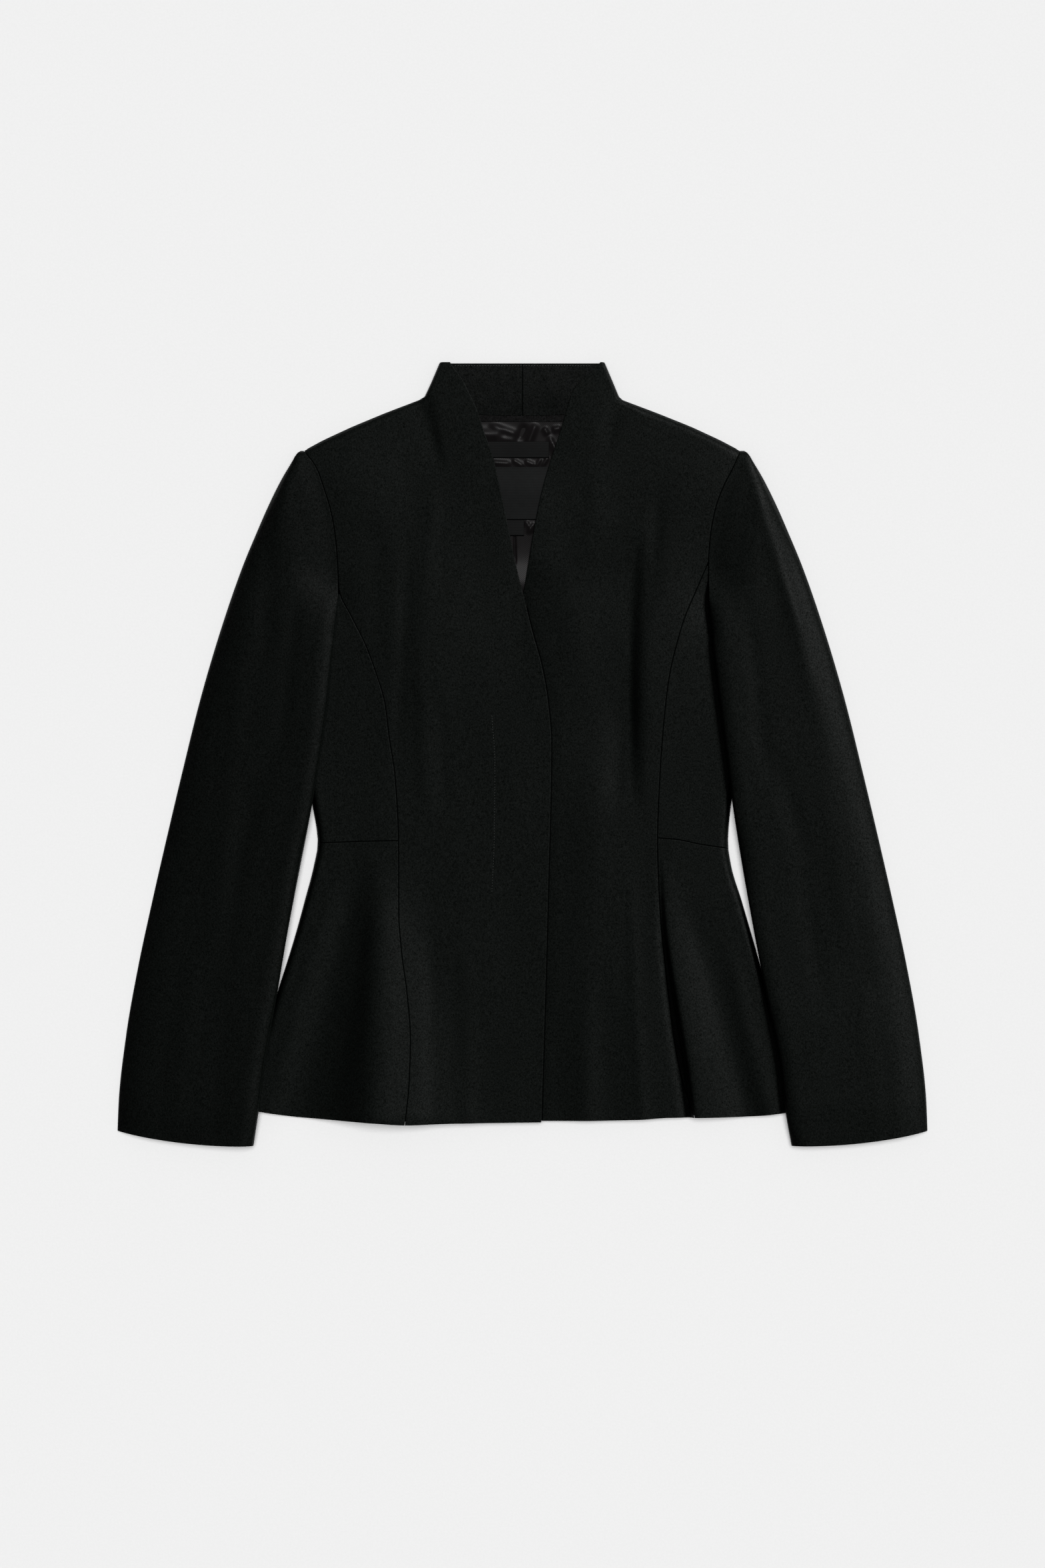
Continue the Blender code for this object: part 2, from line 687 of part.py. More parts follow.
def main():
    """Clear the scene and build every piece."""
    for item in list(bpy.data.objects):
        bpy.data.objects.remove(item, do_unlink=True)
    shell_pieces = {
        "front": front,
        "side_front": side_front,
        "peplum_side": peplum_side,
        "back": back,
        "sleeve_upper": sleeve_upper,
        "sleeve_under_head": sleeve_under_head,
        "sleeve_under": sleeve_under,
        "collar_back": lambda half: collar_half(half, 0, BACK_WALL, 0.0, COLLAR_TOP, 0),
        "collar_facing": lambda half: collar_half(half, FOLD_EDGE, FACING_WALL, 2.8, COLLAR_TOP - 0.5, 1.2),
    }
    for half in HALVES:
        for piece, shape in shell_pieces.items():
            name = f"{piece}_{half.name}"
            solid(name, shape(half), material(f"wool_{name}", WOOL, 0.9), half.sign)
    band_low = NECK_SEAM - 5.4
    band = lining_piece(NECK_SEAM - SEAM, band_low, lambda m: neck_curve(m) - SEAM)
    solid("neck_band", band, material("tape_neck_band", TAPE, 0.7))
    back_lining = lining_piece(band_low - SEAM, LINING_END)
    solid("lining_back", back_lining, material("satin_lining_back", SATIN, 0.35))
    for label in LABELS:
        solid(label.name, label_piece(label), material(f"woven_{label.name}", label.colour, 0.6))


main()
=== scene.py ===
"""Looks of the peplum jacket, laid flat: black fine wool, satin lining and bare labels on a pale floor.

Shapes are worked out in millimetres and become metres in the meshes. Each half is drawn in its own plan
frame: m is the distance from the centre line, outwards, and y the height in the picture. The wearer's
right half is at negative X.
"""

import json
from collections import namedtuple

import bpy
import numpy as np
from bpy.props import FloatProperty, FloatVectorProperty, PointerProperty
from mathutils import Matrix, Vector

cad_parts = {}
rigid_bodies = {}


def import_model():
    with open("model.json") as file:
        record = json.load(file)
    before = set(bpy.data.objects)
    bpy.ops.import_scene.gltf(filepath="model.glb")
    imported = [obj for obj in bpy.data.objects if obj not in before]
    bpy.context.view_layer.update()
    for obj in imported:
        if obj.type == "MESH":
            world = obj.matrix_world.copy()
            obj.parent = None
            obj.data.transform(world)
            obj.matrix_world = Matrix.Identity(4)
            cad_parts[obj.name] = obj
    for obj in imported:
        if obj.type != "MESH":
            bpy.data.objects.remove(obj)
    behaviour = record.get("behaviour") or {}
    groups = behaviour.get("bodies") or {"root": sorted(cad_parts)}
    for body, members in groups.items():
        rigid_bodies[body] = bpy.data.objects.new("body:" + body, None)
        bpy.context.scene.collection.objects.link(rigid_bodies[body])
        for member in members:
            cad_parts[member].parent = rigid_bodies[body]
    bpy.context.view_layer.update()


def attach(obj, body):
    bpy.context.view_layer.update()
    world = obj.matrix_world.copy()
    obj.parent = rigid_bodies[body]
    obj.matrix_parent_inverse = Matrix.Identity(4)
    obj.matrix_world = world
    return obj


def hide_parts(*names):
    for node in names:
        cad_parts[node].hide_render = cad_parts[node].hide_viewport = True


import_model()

bl_info = {
    "name": "Peplum jacket",
    "version": (1, 0, 0),
    "blender": (4, 5, 0),
    "location": "View3D > Sidebar > Jacket",
    "description": "Builds a flat-laid peplum jacket piece by piece around its packed frame",
    "category": "Object",
}

MM = 0.001

# Walls and clearances: the seams' width, how far apart cloths lie, and the step under the front edge
FRONT_WALL = 2.0
BACK_WALL = 1.8
SLEEVE_WALL = 1.8
FACING_WALL = 1.5
LINING_WALL = 1.0
SEAM = 0.3
LIE = 0.7
OVERLAP = 0.6
LOWEST_FOLD = BACK_WALL + FRONT_WALL + LIE

# Heights of the outer surface above the table
FRONT_RISE = 11.0
HEM_RISE = 10.0
FOLD_EDGE = BACK_WALL + SEAM

# Landmarks along y, then the distances from the centre of the collar's foot and of the underarm
COLLAR_TOP = 343.3
NECK_SEAM = 297.4
COLLAR_FOOT = 311.0
SHOULDER_END = 266.5
ARM_TURN = 142.0
HEAD_SPLIT = 130.0
UNDERARM = 95.0
SLEEVE_SPLIT = 88.0
LINING_END = 132.0
HEM_CORNER = -311.0
CUFF = -344.0
COLLAR_SIDE = 85.5
UNDERARM_REACH = 205.0

# Radii of the folded edges
COLLAR_FOLD = 3.0
SHOULDER_FOLD = 7.0
SIDE_FOLD = 7.0
SLEEVE_FOLD_IN = 14.0
SLEEVE_FOLD_OUT = 30.0

# Each half: its sign in X and the height where its princess seam leaves the armhole
Half = namedtuple("Half", "name sign princess_top")
HALVES = (Half("right", -1, 142.0), Half("left", 1, 167.0))


def rows_of(kind, *rows):
    """A table of named rows."""
    return tuple(kind(*row) for row in rows)


# Lines of the cut, a row for each height y, a column for each half
Line = namedtuple("Line", "y right left")

# Collar side and shoulder line, distance from the centre
SHOULDER = rows_of(
    Line,
    (344, 72.7, 72.2), (326, 80.4, 79.8), (314, 86, 84.8), (311, 91, 88), (300, 120, 117.5),
    (288, 149, 147.5), (276, 175, 173.5), (SHOULDER_END, 192.5, 191.5),
)

# Front armhole, down to the underarm, then the side seam to the hem corner
ARMHOLE = rows_of(
    Line,
    (SHOULDER_END, 192.5, 191.5), (252, 181.5, 185), (232, 174, 175), (213, 168.3, 168.5),
    (190, 164.3, 164.5), (168, 162.5, 163), (ARM_TURN, 161.5, 163),
)
SIDE = rows_of(
    Line,
    (ARM_TURN, 161.5, 163), (130, 165, 167), (118, 175, 176), (106, 190, 190),
    (UNDERARM, UNDERARM_REACH, UNDERARM_REACH), (72, 203, 203), (45, 199, 199), (14, 194.5, 194),
    (-20, 189, 187.5), (-47, 184.3, 183),
    (-78, 180, 180.7), (-99, 183.6, 183.6), (-128, 191.2, 192.4), (-158, 199.4, 201.2),
    (-205, 214, 214.5), (-260, 231.5, 231.5), (HEM_CORNER, 248, 248),
)

# Princess seam, armhole to hem
PRINCESS = rows_of(
    Line,
    (167, 162.5, 162.5), (142, 160.5, 151.7), (120, 150, 142.3), (96, 138, 135), (72, 129, 129.3),
    (45, 121, 125.5), (14, 117, 122.6), (-20, 112, 120.3), (-76, 109, 118.3), (-140, 108.6, 120.7),
    (-174, 106, 124), (-212, 101, 128.3), (-250, 98.3, 133), (-285, 99.2, 140), (-325, 103, 153),
)

# Neck edge and front edge, as the reach past the centre line
FRONT_EDGE = rows_of(
    Line,
    (344, -64, -69), (336, -58.5, -61), (328, -52.5, -52), (318, -47.5, -44), (303, -40.5, -39),
    (281, -33, -32.5), (259, -25.5, -25), (235, -20, -18), (202, -13, -11), (167, -6, -5), (142, 0, -0.5),
    (109, 8, 9.5), (76, 17, 18), (47, 22, 22), (9, 25, 24), (-129, 22, 26.5), (-323, 16.4, 30),
)

# Inner fold of the sleeve below the armhole
SLEEVE_INNER = rows_of(
    Line,
    (ARM_TURN, 161.5, 163), (115, 163, 164.5), (84, 167, 168), (42, 171, 173), (0, 177, 178.5),
    (-47, 185, 184.7), (-99, 195.3, 193), (-158, 206.4, 203.5), (-215, 216, 214.5), (-273, 226, 226),
    (-315, 231.8, 231), (CUFF, 236.4, 236.4),
)

# Outer fold of the sleeve and the height of its crown, the same on both sides
Arm = namedtuple("Arm", "y outer crown")
ARM = rows_of(
    Arm,
    (266.3, 194.6, 14.5), (264, 197.5, 15), (257, 202, 16), (241, 212, 17.5), (218, 223.5, 18.5),
    (194, 234, 18.5), (165, 246, 18), (106, 266.3, 17.5), (47, 283.6, 17), (-11, 298, 16.5),
    (-70, 312, 15.5), (-128, 325.3, 14.5), (-187, 338, 14.5), (-246, 348.4, 15.5), (-304, 355, 15.5),
    (CUFF, 356.6, 13),
)

# Inner limit of the under sleeve: back armhole, then out to the sleeve's inner fold over the side front
UNDER = rows_of(
    Line,
    (264, 192.8, 192), (230, 192, 192), (190, 194, 194), (150, 198, 198), (110, 203.5, 203.5),
    (UNDERARM, 205.3, 205.3), (93, 198, 198), (90.5, 182, 182), (SLEEVE_SPLIT, 166.9, 167.9),
)

# Hem and waist seam: height y at the distance m from the centre
Level = namedtuple("Level", "m right left")
HEM = rows_of(
    Level,
    (-30, -323.2, -322.4), (60, -324.2, -322), (100, -325, -321.2), (130, -323, -319.4),
    (165, -321, -319), (197, -319, -318.4), (231, -314.3, -315.2), (250, HEM_CORNER, HEM_CORNER),
)
WAIST = rows_of(
    Level,
    (100, -76, -72.6), (135, -76.5, -75), (155, -77.2, -79), (185, -78.2, -83.5),
)

# Soft troughs and ridges: the line of each by its m at the top, middle and low end, its width and rise at
# both ends, and how many times wider its slope is on the inner side
Fold = namedtuple("Fold", "half y_top y_low m_top m_mid m_low wide_top wide_low rise_top rise_low lean",
                  defaults=(1.0,))
BODY_FOLDS = rows_of(
    Fold,
    ("left", 240, 90, 120, 114, 104, 7, 7, -1, -1),
    ("left", 210, -66, 100.5, 93.5, 98, 8.5, 7.5, -5.3, -7, 6.5),
    ("right", 170, -15, 96, 95, 96, 12, 12, -0.9, -1),
    ("right", 215, 96, 131, 129, 130, 12, 12, -0.9, -0.8),
    ("right", -84, -350, 126, 153, 190, 8, 27, -1, -4.6),
    ("right", -100, -350, 129, 128, 132, 12, 60, 2, 12, 1.1),
    ("right", -70, -350, 127, 128, 132, 9, 24, 1.5, 6, 2.4),
    ("left", -120, -350, 156, 181, 208, 9, 14, -0.6, -1.4),
    ("left", -200, -350, 74, 74, 77, 13, 14, -0.8, -1),
    ("right", -160, -350, 70, 70, 67, 13, 14, -0.6, -0.8),
    ("right", 330, 240, 92, 79, 70, 14, 16, -2, -1.4, 0.2),
    ("left", 330, 250, 93, 80, 72, 3, 4.5, -1.2, -0.7, 2.5),
    ("left", 60, -60, 86, 84, 83, 8, 7, -0.5, -0.9),
    ("left", -110, -350, 142, 171, 206, 8, 13, -0.8, -1.2),
    ("left", -150, -350, 176, 200, 226, 7, 10, 0.6, 1.4),
    ("left", -90, -350, 96, 99, 108, 5, 7, 0.5, 1),
    ("left", -180, -350, 58, 56, 57, 9, 9, 0.5, 0.9),
    ("left", -210, -350, 30, 31, 30, 8, 8, -0.3, -0.5),
    ("right", -84, -350, 140, 174, 212, 9, 22, -2.5, -4.5),
    ("right", -120, -350, 168, 200, 226, 7, 9, 0.5, 0.8),
    ("right", -130, -350, 82, 80, 79, 7, 8, -0.6, -1),
    ("right", -140, -350, 50, 48, 47, 8, 8, 0.4, 0.7),
    ("right", 258, 40, 76, 84, 92, 8, 9, 0.7, 0.5),
    ("right", 200, -40, 100, 106, 110, 6, 6, -0.8, -0.9),
    ("right", 120, -70, 92, 88, 86, 7, 6, 0.6, 0.8),
    ("right", 60, -72, 74, 70, 68, 6, 6, -0.4, -0.6),
    ("left", 262, 150, 66, 62, 56, 8, 9, 0.5, 0.4),
)
SLEEVE_FOLDS = rows_of(
    Fold,
    ("left", 250, 60, 203, 228, 266, 5, 8, 1.2, 0.7),
    ("right", 200, 60, 221, 225, 224, 9, 10, -0.9, -0.9),
    ("right", 20, -90, 216, 232, 244, 9, 10, -0.8, -0.8),
    ("left", 10, -110, 220, 236, 256, 9, 10, -0.7, -0.9),
    ("right", 262, 150, 204, 214, 214, 5, 8, 0.9, 0.4),
    ("right", 160, -40, 196, 206, 218, 7, 8, -0.8, -0.9),
    ("right", 100, -180, 244, 258, 272, 9, 10, 0.7, 0.9),
    ("right", -20, -220, 236, 252, 262, 8, 9, -0.8, -0.7),
    ("right", -160, -340, 282, 296, 306, 10, 11, 0.7, 0.8),
    ("right", -200, -346, 258, 266, 272, 9, 9, -0.6, -0.7),
    ("left", 236, 20, 212, 238, 262, 6, 9, 1.3, 0.9),
    ("left", 200, 30, 226, 250, 276, 6, 8, -0.9, -0.9),
    ("left", 150, -60, 196, 206, 220, 7, 8, -0.6, -0.8),
    ("left", 0, -200, 262, 276, 294, 9, 10, 0.6, 0.8),
    ("left", -60, -260, 240, 254, 270, 9, 9, -0.7, -0.7),
    ("left", -180, -346, 292, 304, 312, 10, 11, 0.7, 0.6),
)


def smoothstep(t):
    """0 below t = 0, 1 above t = 1, with level ends."""
    t = np.clip(t, 0, 1)
    return t * t * (3 - 2 * t)


def read(rows, column, at):
    """Value of a table's column at a place along its first one: monotone cubics, never past a row."""
    xs, vs = np.array(sorted((row[0], getattr(row, column)) for row in rows), float).T
    step = np.diff(xs)
    rate = np.diff(vs) / step
    slope = np.zeros(len(xs))
    slope[0], slope[-1] = rate[0], rate[-1]
    same = rate[:-1] * rate[1:] > 0
    wide, narrow = 2 * step[1:] + step[:-1], step[1:] + 2 * step[:-1]
    safe = np.where(same, rate[:-1] * rate[1:], 1)
    mean = (wide + narrow) * safe / np.where(same, wide * rate[1:] + narrow * rate[:-1], 1)
    slope[1:-1] = np.where(same, mean, 0)
    at = np.clip(at, xs[0], xs[-1])
    i = np.clip(np.searchsorted(xs, at) - 1, 0, len(xs) - 2)
    t = (at - xs[i]) / step[i]
    start = (2 * t**3 - 3 * t**2 + 1) * vs[i] + (t**3 - 2 * t**2 + t) * step[i] * slope[i]
    end = (3 * t**2 - 2 * t**3) * vs[i + 1] + (t**3 - t**2) * step[i] * slope[i + 1]
    return start + end


def straight(rows, column, at):
    """Value of a table's column with straight lines between its rows."""
    return np.interp(at, *zip(*sorted((row[0], getattr(row, column)) for row in rows)))


def fold_sum(folds, half, m, y):
    """Height of all folds of one half: a bell across each line, faded over its ends."""
    total = np.zeros(np.shape(m))
    for f in folds:
        if f.half != half.name:
            continue
        t = (f.y_top - y) / (f.y_top - f.y_low)
        low, mid, high = t * (2 * t - 1), 4 * t * (1 - t), (1 - t) * (1 - 2 * t)
        line = high * f.m_top + mid * f.m_mid + low * f.m_low
        s = np.clip(t, 0, 1)
        wide = f.wide_top + (f.wide_low - f.wide_top) * s
        rise = f.rise_top + (f.rise_low - f.rise_top) * s
        ends = smoothstep(t / 0.25) * smoothstep((1 - t) / (0.12 if f.y_low < HEM_CORNER else 0.4))
        off = (m - line) / np.where(m < line, wide * f.lean, wide)
        total = total + rise * ends * np.exp(-(off**2))
    return total


def bell(m, y, at_m, at_y, wide, tall):
    """A smooth mound of height 1 at one place."""
    return np.exp(-(((m - at_m) / wide) ** 2) - ((y - at_y) / tall) ** 2)


# Foot of the peplum's roll: distances from the centre, beside the princess seam
ROLL_FOOT = rows_of(
    Line,
    (-84, 111, 119.8), (-150, 107.5, 123), (-211, 103, 130.5), (-268, 101, 139.5), (-325, 105, 147.5),
)
# Width of the roll's wall, of its long outer slope, its height and the dip at its foot, at the hem
Roll = namedtuple("Roll", "wall slope rise dip")
ROLLS = {"right": Roll(24.0, 13.0, 1.0, 0.2), "left": Roll(5.0, 27.0, 5.8, 3.0)}


def flare(half, m, y):
    """The peplum's roll: a dip along the princess seam, a wall outwards of it, then a long slope down."""
    roll = ROLLS[half.name]
    grown = smoothstep((-84 - y) / 190)
    out = m - read(ROLL_FOOT, half.name, y)
    wall = roll.wall * (0.55 + 0.45 * grown)
    slope = roll.slope * (0.5 + 0.5 * grown)
    past = np.maximum(out - wall, 0) / slope
    dip = roll.dip * np.exp(-(((out + 1.2) / (2.6 + 2.6 * grown)) ** 2))
    return grown**0.7 * (roll.rise * smoothstep(out / wall) * np.exp(-(past**2)) - dip)


def body_rise(half, m, y):
    """Outer height of the front of the body before its edges fold down.

    A level that sinks towards the hem and the sides, with mounds for the bust, the shoulder and the
    standing neck, a dip at the underarm, where the sleeve lies over it, and the folds.
    """
    level = FRONT_RISE - (FRONT_RISE - HEM_RISE) * smoothstep((-180 - y) / 140)
    level = level - 1.6 * (np.abs(m) / 200) ** 2
    out = np.abs(m)
    mounds = 4.4 * bell(out, y, 86, 112, 56, 82) + 3.2 * bell(out, y, 158, 236, 46, 46)
    neck = 1.6 * bell(out, y, 58, 305, 30, 55) + 1.2 * bell(out, y, 14, 190, 26, 60)
    dip = 2.2 * bell(m, y, 164, 134, 17, 24)
    inner = read(SLEEVE_INNER, half.name, y)
    hidden = 1.5 * smoothstep((m - inner) / 14) * smoothstep((150 - y) / 25)
    folds = fold_sum(BODY_FOLDS, half, m, y) + flare(half, m, y)
    rise = level + mounds + neck - dip - hidden + folds
    spare = rise - LOWEST_FOLD
    return LOWEST_FOLD + (spare + np.sqrt(spare**2 + 1)) / 2


def fold_over(distance, radius):
    """Share of the height left at a distance from a folded edge, and how far the wall has turned."""
    turned = 1 - np.clip(distance / radius, 0, 1)
    return np.sqrt(1 - turned**2), turned


def towards_line(m, y, points):
    """Distance to a broken line and the unit direction towards it, outwards where a point lies on it."""
    best = np.full(np.shape(m), 1e9)
    out_m, out_y = np.zeros(np.shape(m)), np.zeros(np.shape(m))
    for (m0, y0), (m1, y1) in zip(points, points[1:]):
        along_m, along_y = m1 - m0, y1 - y0
        size = np.hypot(along_m, along_y)
        t = np.clip(((m - m0) * along_m + (y - y0) * along_y) / size**2, 0, 1)
        to_m, to_y = m0 + t * along_m - m, y0 + t * along_y - y
        d = np.hypot(to_m, to_y)
        near = d < best - 1e-9
        on_line = d < 0.01
        scale = np.where(on_line, 1, d)
        out_m = np.where(near, np.where(on_line, -along_y / size, to_m / scale), out_m)
        out_y = np.where(near, np.where(on_line, along_m / size, to_y / scale), out_y)
        best = np.where(near, d, best)
    return best, out_m, out_y


def front_surface(half, m, y):
    """Outer height, turn and outward direction of a centre front, folded over at collar and shoulder."""
    points = [(getattr(row, half.name), row.y) for row in SHOULDER]
    distance, out_m, out_y = towards_line(m, y, points)
    radius = COLLAR_FOLD + (SHOULDER_FOLD - COLLAR_FOLD) * smoothstep((318 - y) / 24)
    share, turned = fold_over(distance, radius)
    rise = body_rise(half, m, y)
    if half.name == "left":
        edge = read(FRONT_EDGE, "right", y)
        covered = smoothstep((edge + 45 - m) / 40) * smoothstep((178 - y) / 34)
        rise = rise - (FRONT_WALL + OVERLAP) * covered
    return FOLD_EDGE + (rise - FOLD_EDGE) * share, turned, out_m, out_y


def side_surface(half, m, y):
    """Outer height, turn and outward direction of a side piece, folded over at the side seam."""
    distance = np.where(y > UNDERARM, SIDE_FOLD, read(SIDE, half.name, y) - m)
    share, turned = fold_over(distance, SIDE_FOLD)
    return FOLD_EDGE + (body_rise(half, m, y) - FOLD_EDGE) * share, turned, 1.0, 0.0


def sleeve_lift(half, m, y):
    """Height of the under sleeve's lower face: over the body it lies on it, beside it sinks to the table."""
    side = np.where(y > UNDERARM, UNDERARM_REACH, read(SIDE, half.name, y))
    beside = 1 - smoothstep((m - side - 3) / 24)
    below_arm = smoothstep((128 - y) / 33)
    past_hem = 1 - smoothstep((HEM_CORNER - 4 - y) / 60)
    return (body_rise(half, m, y) + LIE) * beside * below_arm * past_hem


# Height by which a sleeve is fuller at its inner side than at its outer one
SLEEVE_LEAN = {"right": 8.0, "left": 3.0}


def sleeve_surface(half, m, y, inner, outer):
    """Outer height, turn and outward direction of an upper sleeve.

    From the armhole it starts at the body's height and swells to its crown. Below the armhole it
    folds over at its inner edge too, down to the under sleeve.
    """
    across = (m - inner) / (outer - inner)
    folded = smoothstep((168 - y) / 62)
    radius_out = 10 + (SLEEVE_FOLD_OUT - 10) * smoothstep((258 - y) / 80)
    share_out, turned_out = fold_over((outer - m) * 0.96, radius_out)
    share_in, turned_in = fold_over((m - inner) * 0.96, SLEEVE_FOLD_IN)
    share_in = 1 - folded * (1 - share_in)
    low_in = sleeve_lift(half, inner, y) + (SLEEVE_WALL + SEAM) * smoothstep((122 - y) / 30)
    low_in = np.where(y > UNDERARM, np.maximum(low_in, body_rise(half, inner, y) + LIE), low_in)
    base = FOLD_EDGE + (low_in - FOLD_EDGE) * (1 - smoothstep(across * 1.6))
    crown = read(ARM, "crown", y) + fold_sum(SLEEVE_FOLDS, half, m, y)
    crown = crown + SLEEVE_LEAN[half.name] * (0.5 - across) * smoothstep((150 - y) / 130)
    crown = crown - 1.8 * smoothstep((y - 120) / 60)
    z = base + (crown - base) * share_in * share_out
    seam_z, _, _, _ = front_surface(half, inner, y)
    seam_z = seam_z + (SLEEVE_WALL + 2 * LIE) * smoothstep((160 - y) / 40)
    head = 0.8 * np.exp(-(((m - inner - 16) / 11) ** 2)) * smoothstep((y - 150) / 40) * share_out
    near = (1 - smoothstep((m - inner) / 42)) * (1 - folded)
    z = z + (seam_z - z) * near + head
    turned = np.where(across > 0.5, turned_out, -turned_in * folded)
    return z, turned, 1.0, 0.0


# Distances from an edge where a sheet has its close rows, and the even spacing between them
EDGE = np.array([0, 0.22, 0.5, 0.9, 1.5, 2.4])
ROW_STEP = 3.0

# Slow waves that keep the cloth from lying dead flat: length, direction in degrees, height, start
Wave = namedtuple("Wave", "length turn height start")
WAVES = rows_of(
    Wave,
    (131, 9, 0.24, 0.4), (92, -17, 0.17, 1.9), (61, 13, 0.11, 3.1), (150, 84, 0.12, 5.2),
    (37, -8, 0.05, 2.4), (23, 21, 0.02, 0.9),
)

# Wrinkles of the satin in the neck: two ends, width and height of each ridge
Wrinkle = namedtuple("Wrinkle", "x0 y0 x1 y1 wide rise")
WRINKLES = rows_of(
    Wrinkle,
    (-42, 281, -20, 280, 5, 1.9), (-26, 288, -6, 281, 3.2, 1.3), (-18, 277, -2, 275, 3.4, 1.2),
    (2, 287, -5, 274, 3.4, -1.3), (11, 288, 5, 273, 3, 1.6), (19, 286, 22, 281, 2.2, 1.2),
    (27, 285, 33, 286, 2.4, 1.2), (24, 278, 30, 262, 2.4, 1.2), (28, 272, 31, 256, 2, 1),
    (-26, 256, -12, 255, 2.4, 1.2), (-8, 258, 0, 253, 2, 1), (3, 257, 10, 254, 2, 1),
    (12, 253, 16, 259, 1.6, 0.9), (18, 254, 22, 260, 1.6, 0.9), (3, 204, 8, 196, 2, 1),
    (5, 195, 10, 202, 1.8, 0.9), (-14, 147, 16, 147, 17, 3.3), (-7, 191, -6.4, 170, 0.9, -1),
)


def wave_height(x, y):
    """Sum of a few long, low sine waves over the plan."""
    total = 0 * x
    for w in WAVES:
        turn = np.radians(w.turn)
        along = x * np.cos(turn) + y * np.sin(turn)
        total = total + w.height * np.sin(2 * np.pi * along / w.length + w.start)
    return total


def rolled(distance, radius):
    """Depth by which a rounded edge has turned down at a distance from it: a quarter circle."""
    t = 1 - np.clip(distance / radius, 0, 1)
    return radius * (1 - np.sqrt(1 - t**2))


# Distances to the covering edge where the lower front has its close columns
CRACK = np.array([-2.2, -1.3, -0.8, -0.5, -0.2, 0.1, 0.4, 0.7, 1.0, 1.4, 2.0, 3.2])


def spread(width, count, slant_far=None, focus=None):
    """Distances along each row: close together at both ends, and at the focus, even between them."""
    far = (np.ones(len(width)) if slant_far is None else slant_far)[:, None]
    limit = 0.3 * width[:, None] * np.linspace(0, 1, len(EDGE))
    first = np.minimum(EDGE, limit)
    last = np.minimum(EDGE * far, limit)
    start, end = first[:, -1:], width[:, None] - last[:, -1:]
    middle = start + (end - start) * np.linspace(0, 1, count)[1:-1]
    if focus is not None:
        close = np.minimum(focus, 0.5 * width)[:, None] + CRACK * np.clip(width / 60, 0.01, 1)[:, None]
        before = start + (close[:, :1] - start) * np.linspace(0, 1, 9)[1:-1]
        after = close[:, -1:] + (end - close[:, -1:]) * np.linspace(0, 1, count)[1:-1]
        middle = np.concatenate([before, close, after], 1)
    return np.concatenate([first, middle, width[:, None] - last[:, ::-1]], 1)


def fine_rows(top, low, step=ROW_STEP):
    """Row heights from top to low: close together at both ends and even between them."""
    count = int((top - low - 2 * EDGE[-1]) / step)
    even = np.linspace(top - EDGE[-1], low + EDGE[-1], count)[1:-1]
    return np.concatenate([top - EDGE, even, low + EDGE[::-1]])


def fine_plan(rows, count, near, far, top=None, low=None, slant_far=None, focus=None):
    """Plan grid of a sheet and the distances of its points to the near, far, top and low edges."""
    width = far(rows) - near(rows)
    across = spread(width, count, slant_far, focus) / width[:, None]
    start, end = rows[0], rows[-1]
    v = (start - rows[:, None]) / (start - end)
    y = np.repeat(rows[:, None], across.shape[1], 1)
    for _ in range(6):
        here = far(y) - near(y)
        m = near(y) + here * across
        y = rows[:, None] + 0 * m
        if low is not None:
            y = y + (low(m) - end) * v**6
        if top is not None:
            y = y + (top(m) - start) * (1 - v) ** 6
    to_top = (top(m) if top else start) - y
    to_low = y - (low(m) if low else end)
    edges = {"near": m - near(y), "far": far(y) - m, "top": to_top, "low": to_low}
    return m, y, edges


def edge_depth(edges, names, radius):
    """Greatest roll of the named edges."""
    depth = 0
    for name in names:
        depth = np.maximum(depth, rolled(np.maximum(edges[name], 0), radius))
    return depth


# Rounding of a wall: its radius along a seam, and its shares of the wall at a free edge, outer and inner
SEAM_ROLL = 0.65
FREE_ROLL = 0.26
INNER_ROLL = 0.42
# Distance that counts as away from any edge
NO_EDGE = 9.0


def shell_points(m, y, surface, wall, edges, seams=(), free=()):
    """Outer and inner points of a cloth wall: seams roll its outer face down, free edges both faces."""
    z, turned, out_m, out_y = surface
    upright = np.sqrt(1 - turned**2)
    inner_z = z - wall * upright
    z = z - edge_depth(edges, seams, SEAM_ROLL) - edge_depth(edges, free, wall * FREE_ROLL)
    inner_z = inner_z + edge_depth(edges, free, wall * INNER_ROLL)
    outer = np.stack([m, y, z], -1)
    inner = np.stack([m - wall * turned * out_m, y - wall * turned * out_y, inner_z], -1)
    return outer, inner


# Turn in degrees between two faces from which their edge is drawn sharp
SHARP_TURN = 60


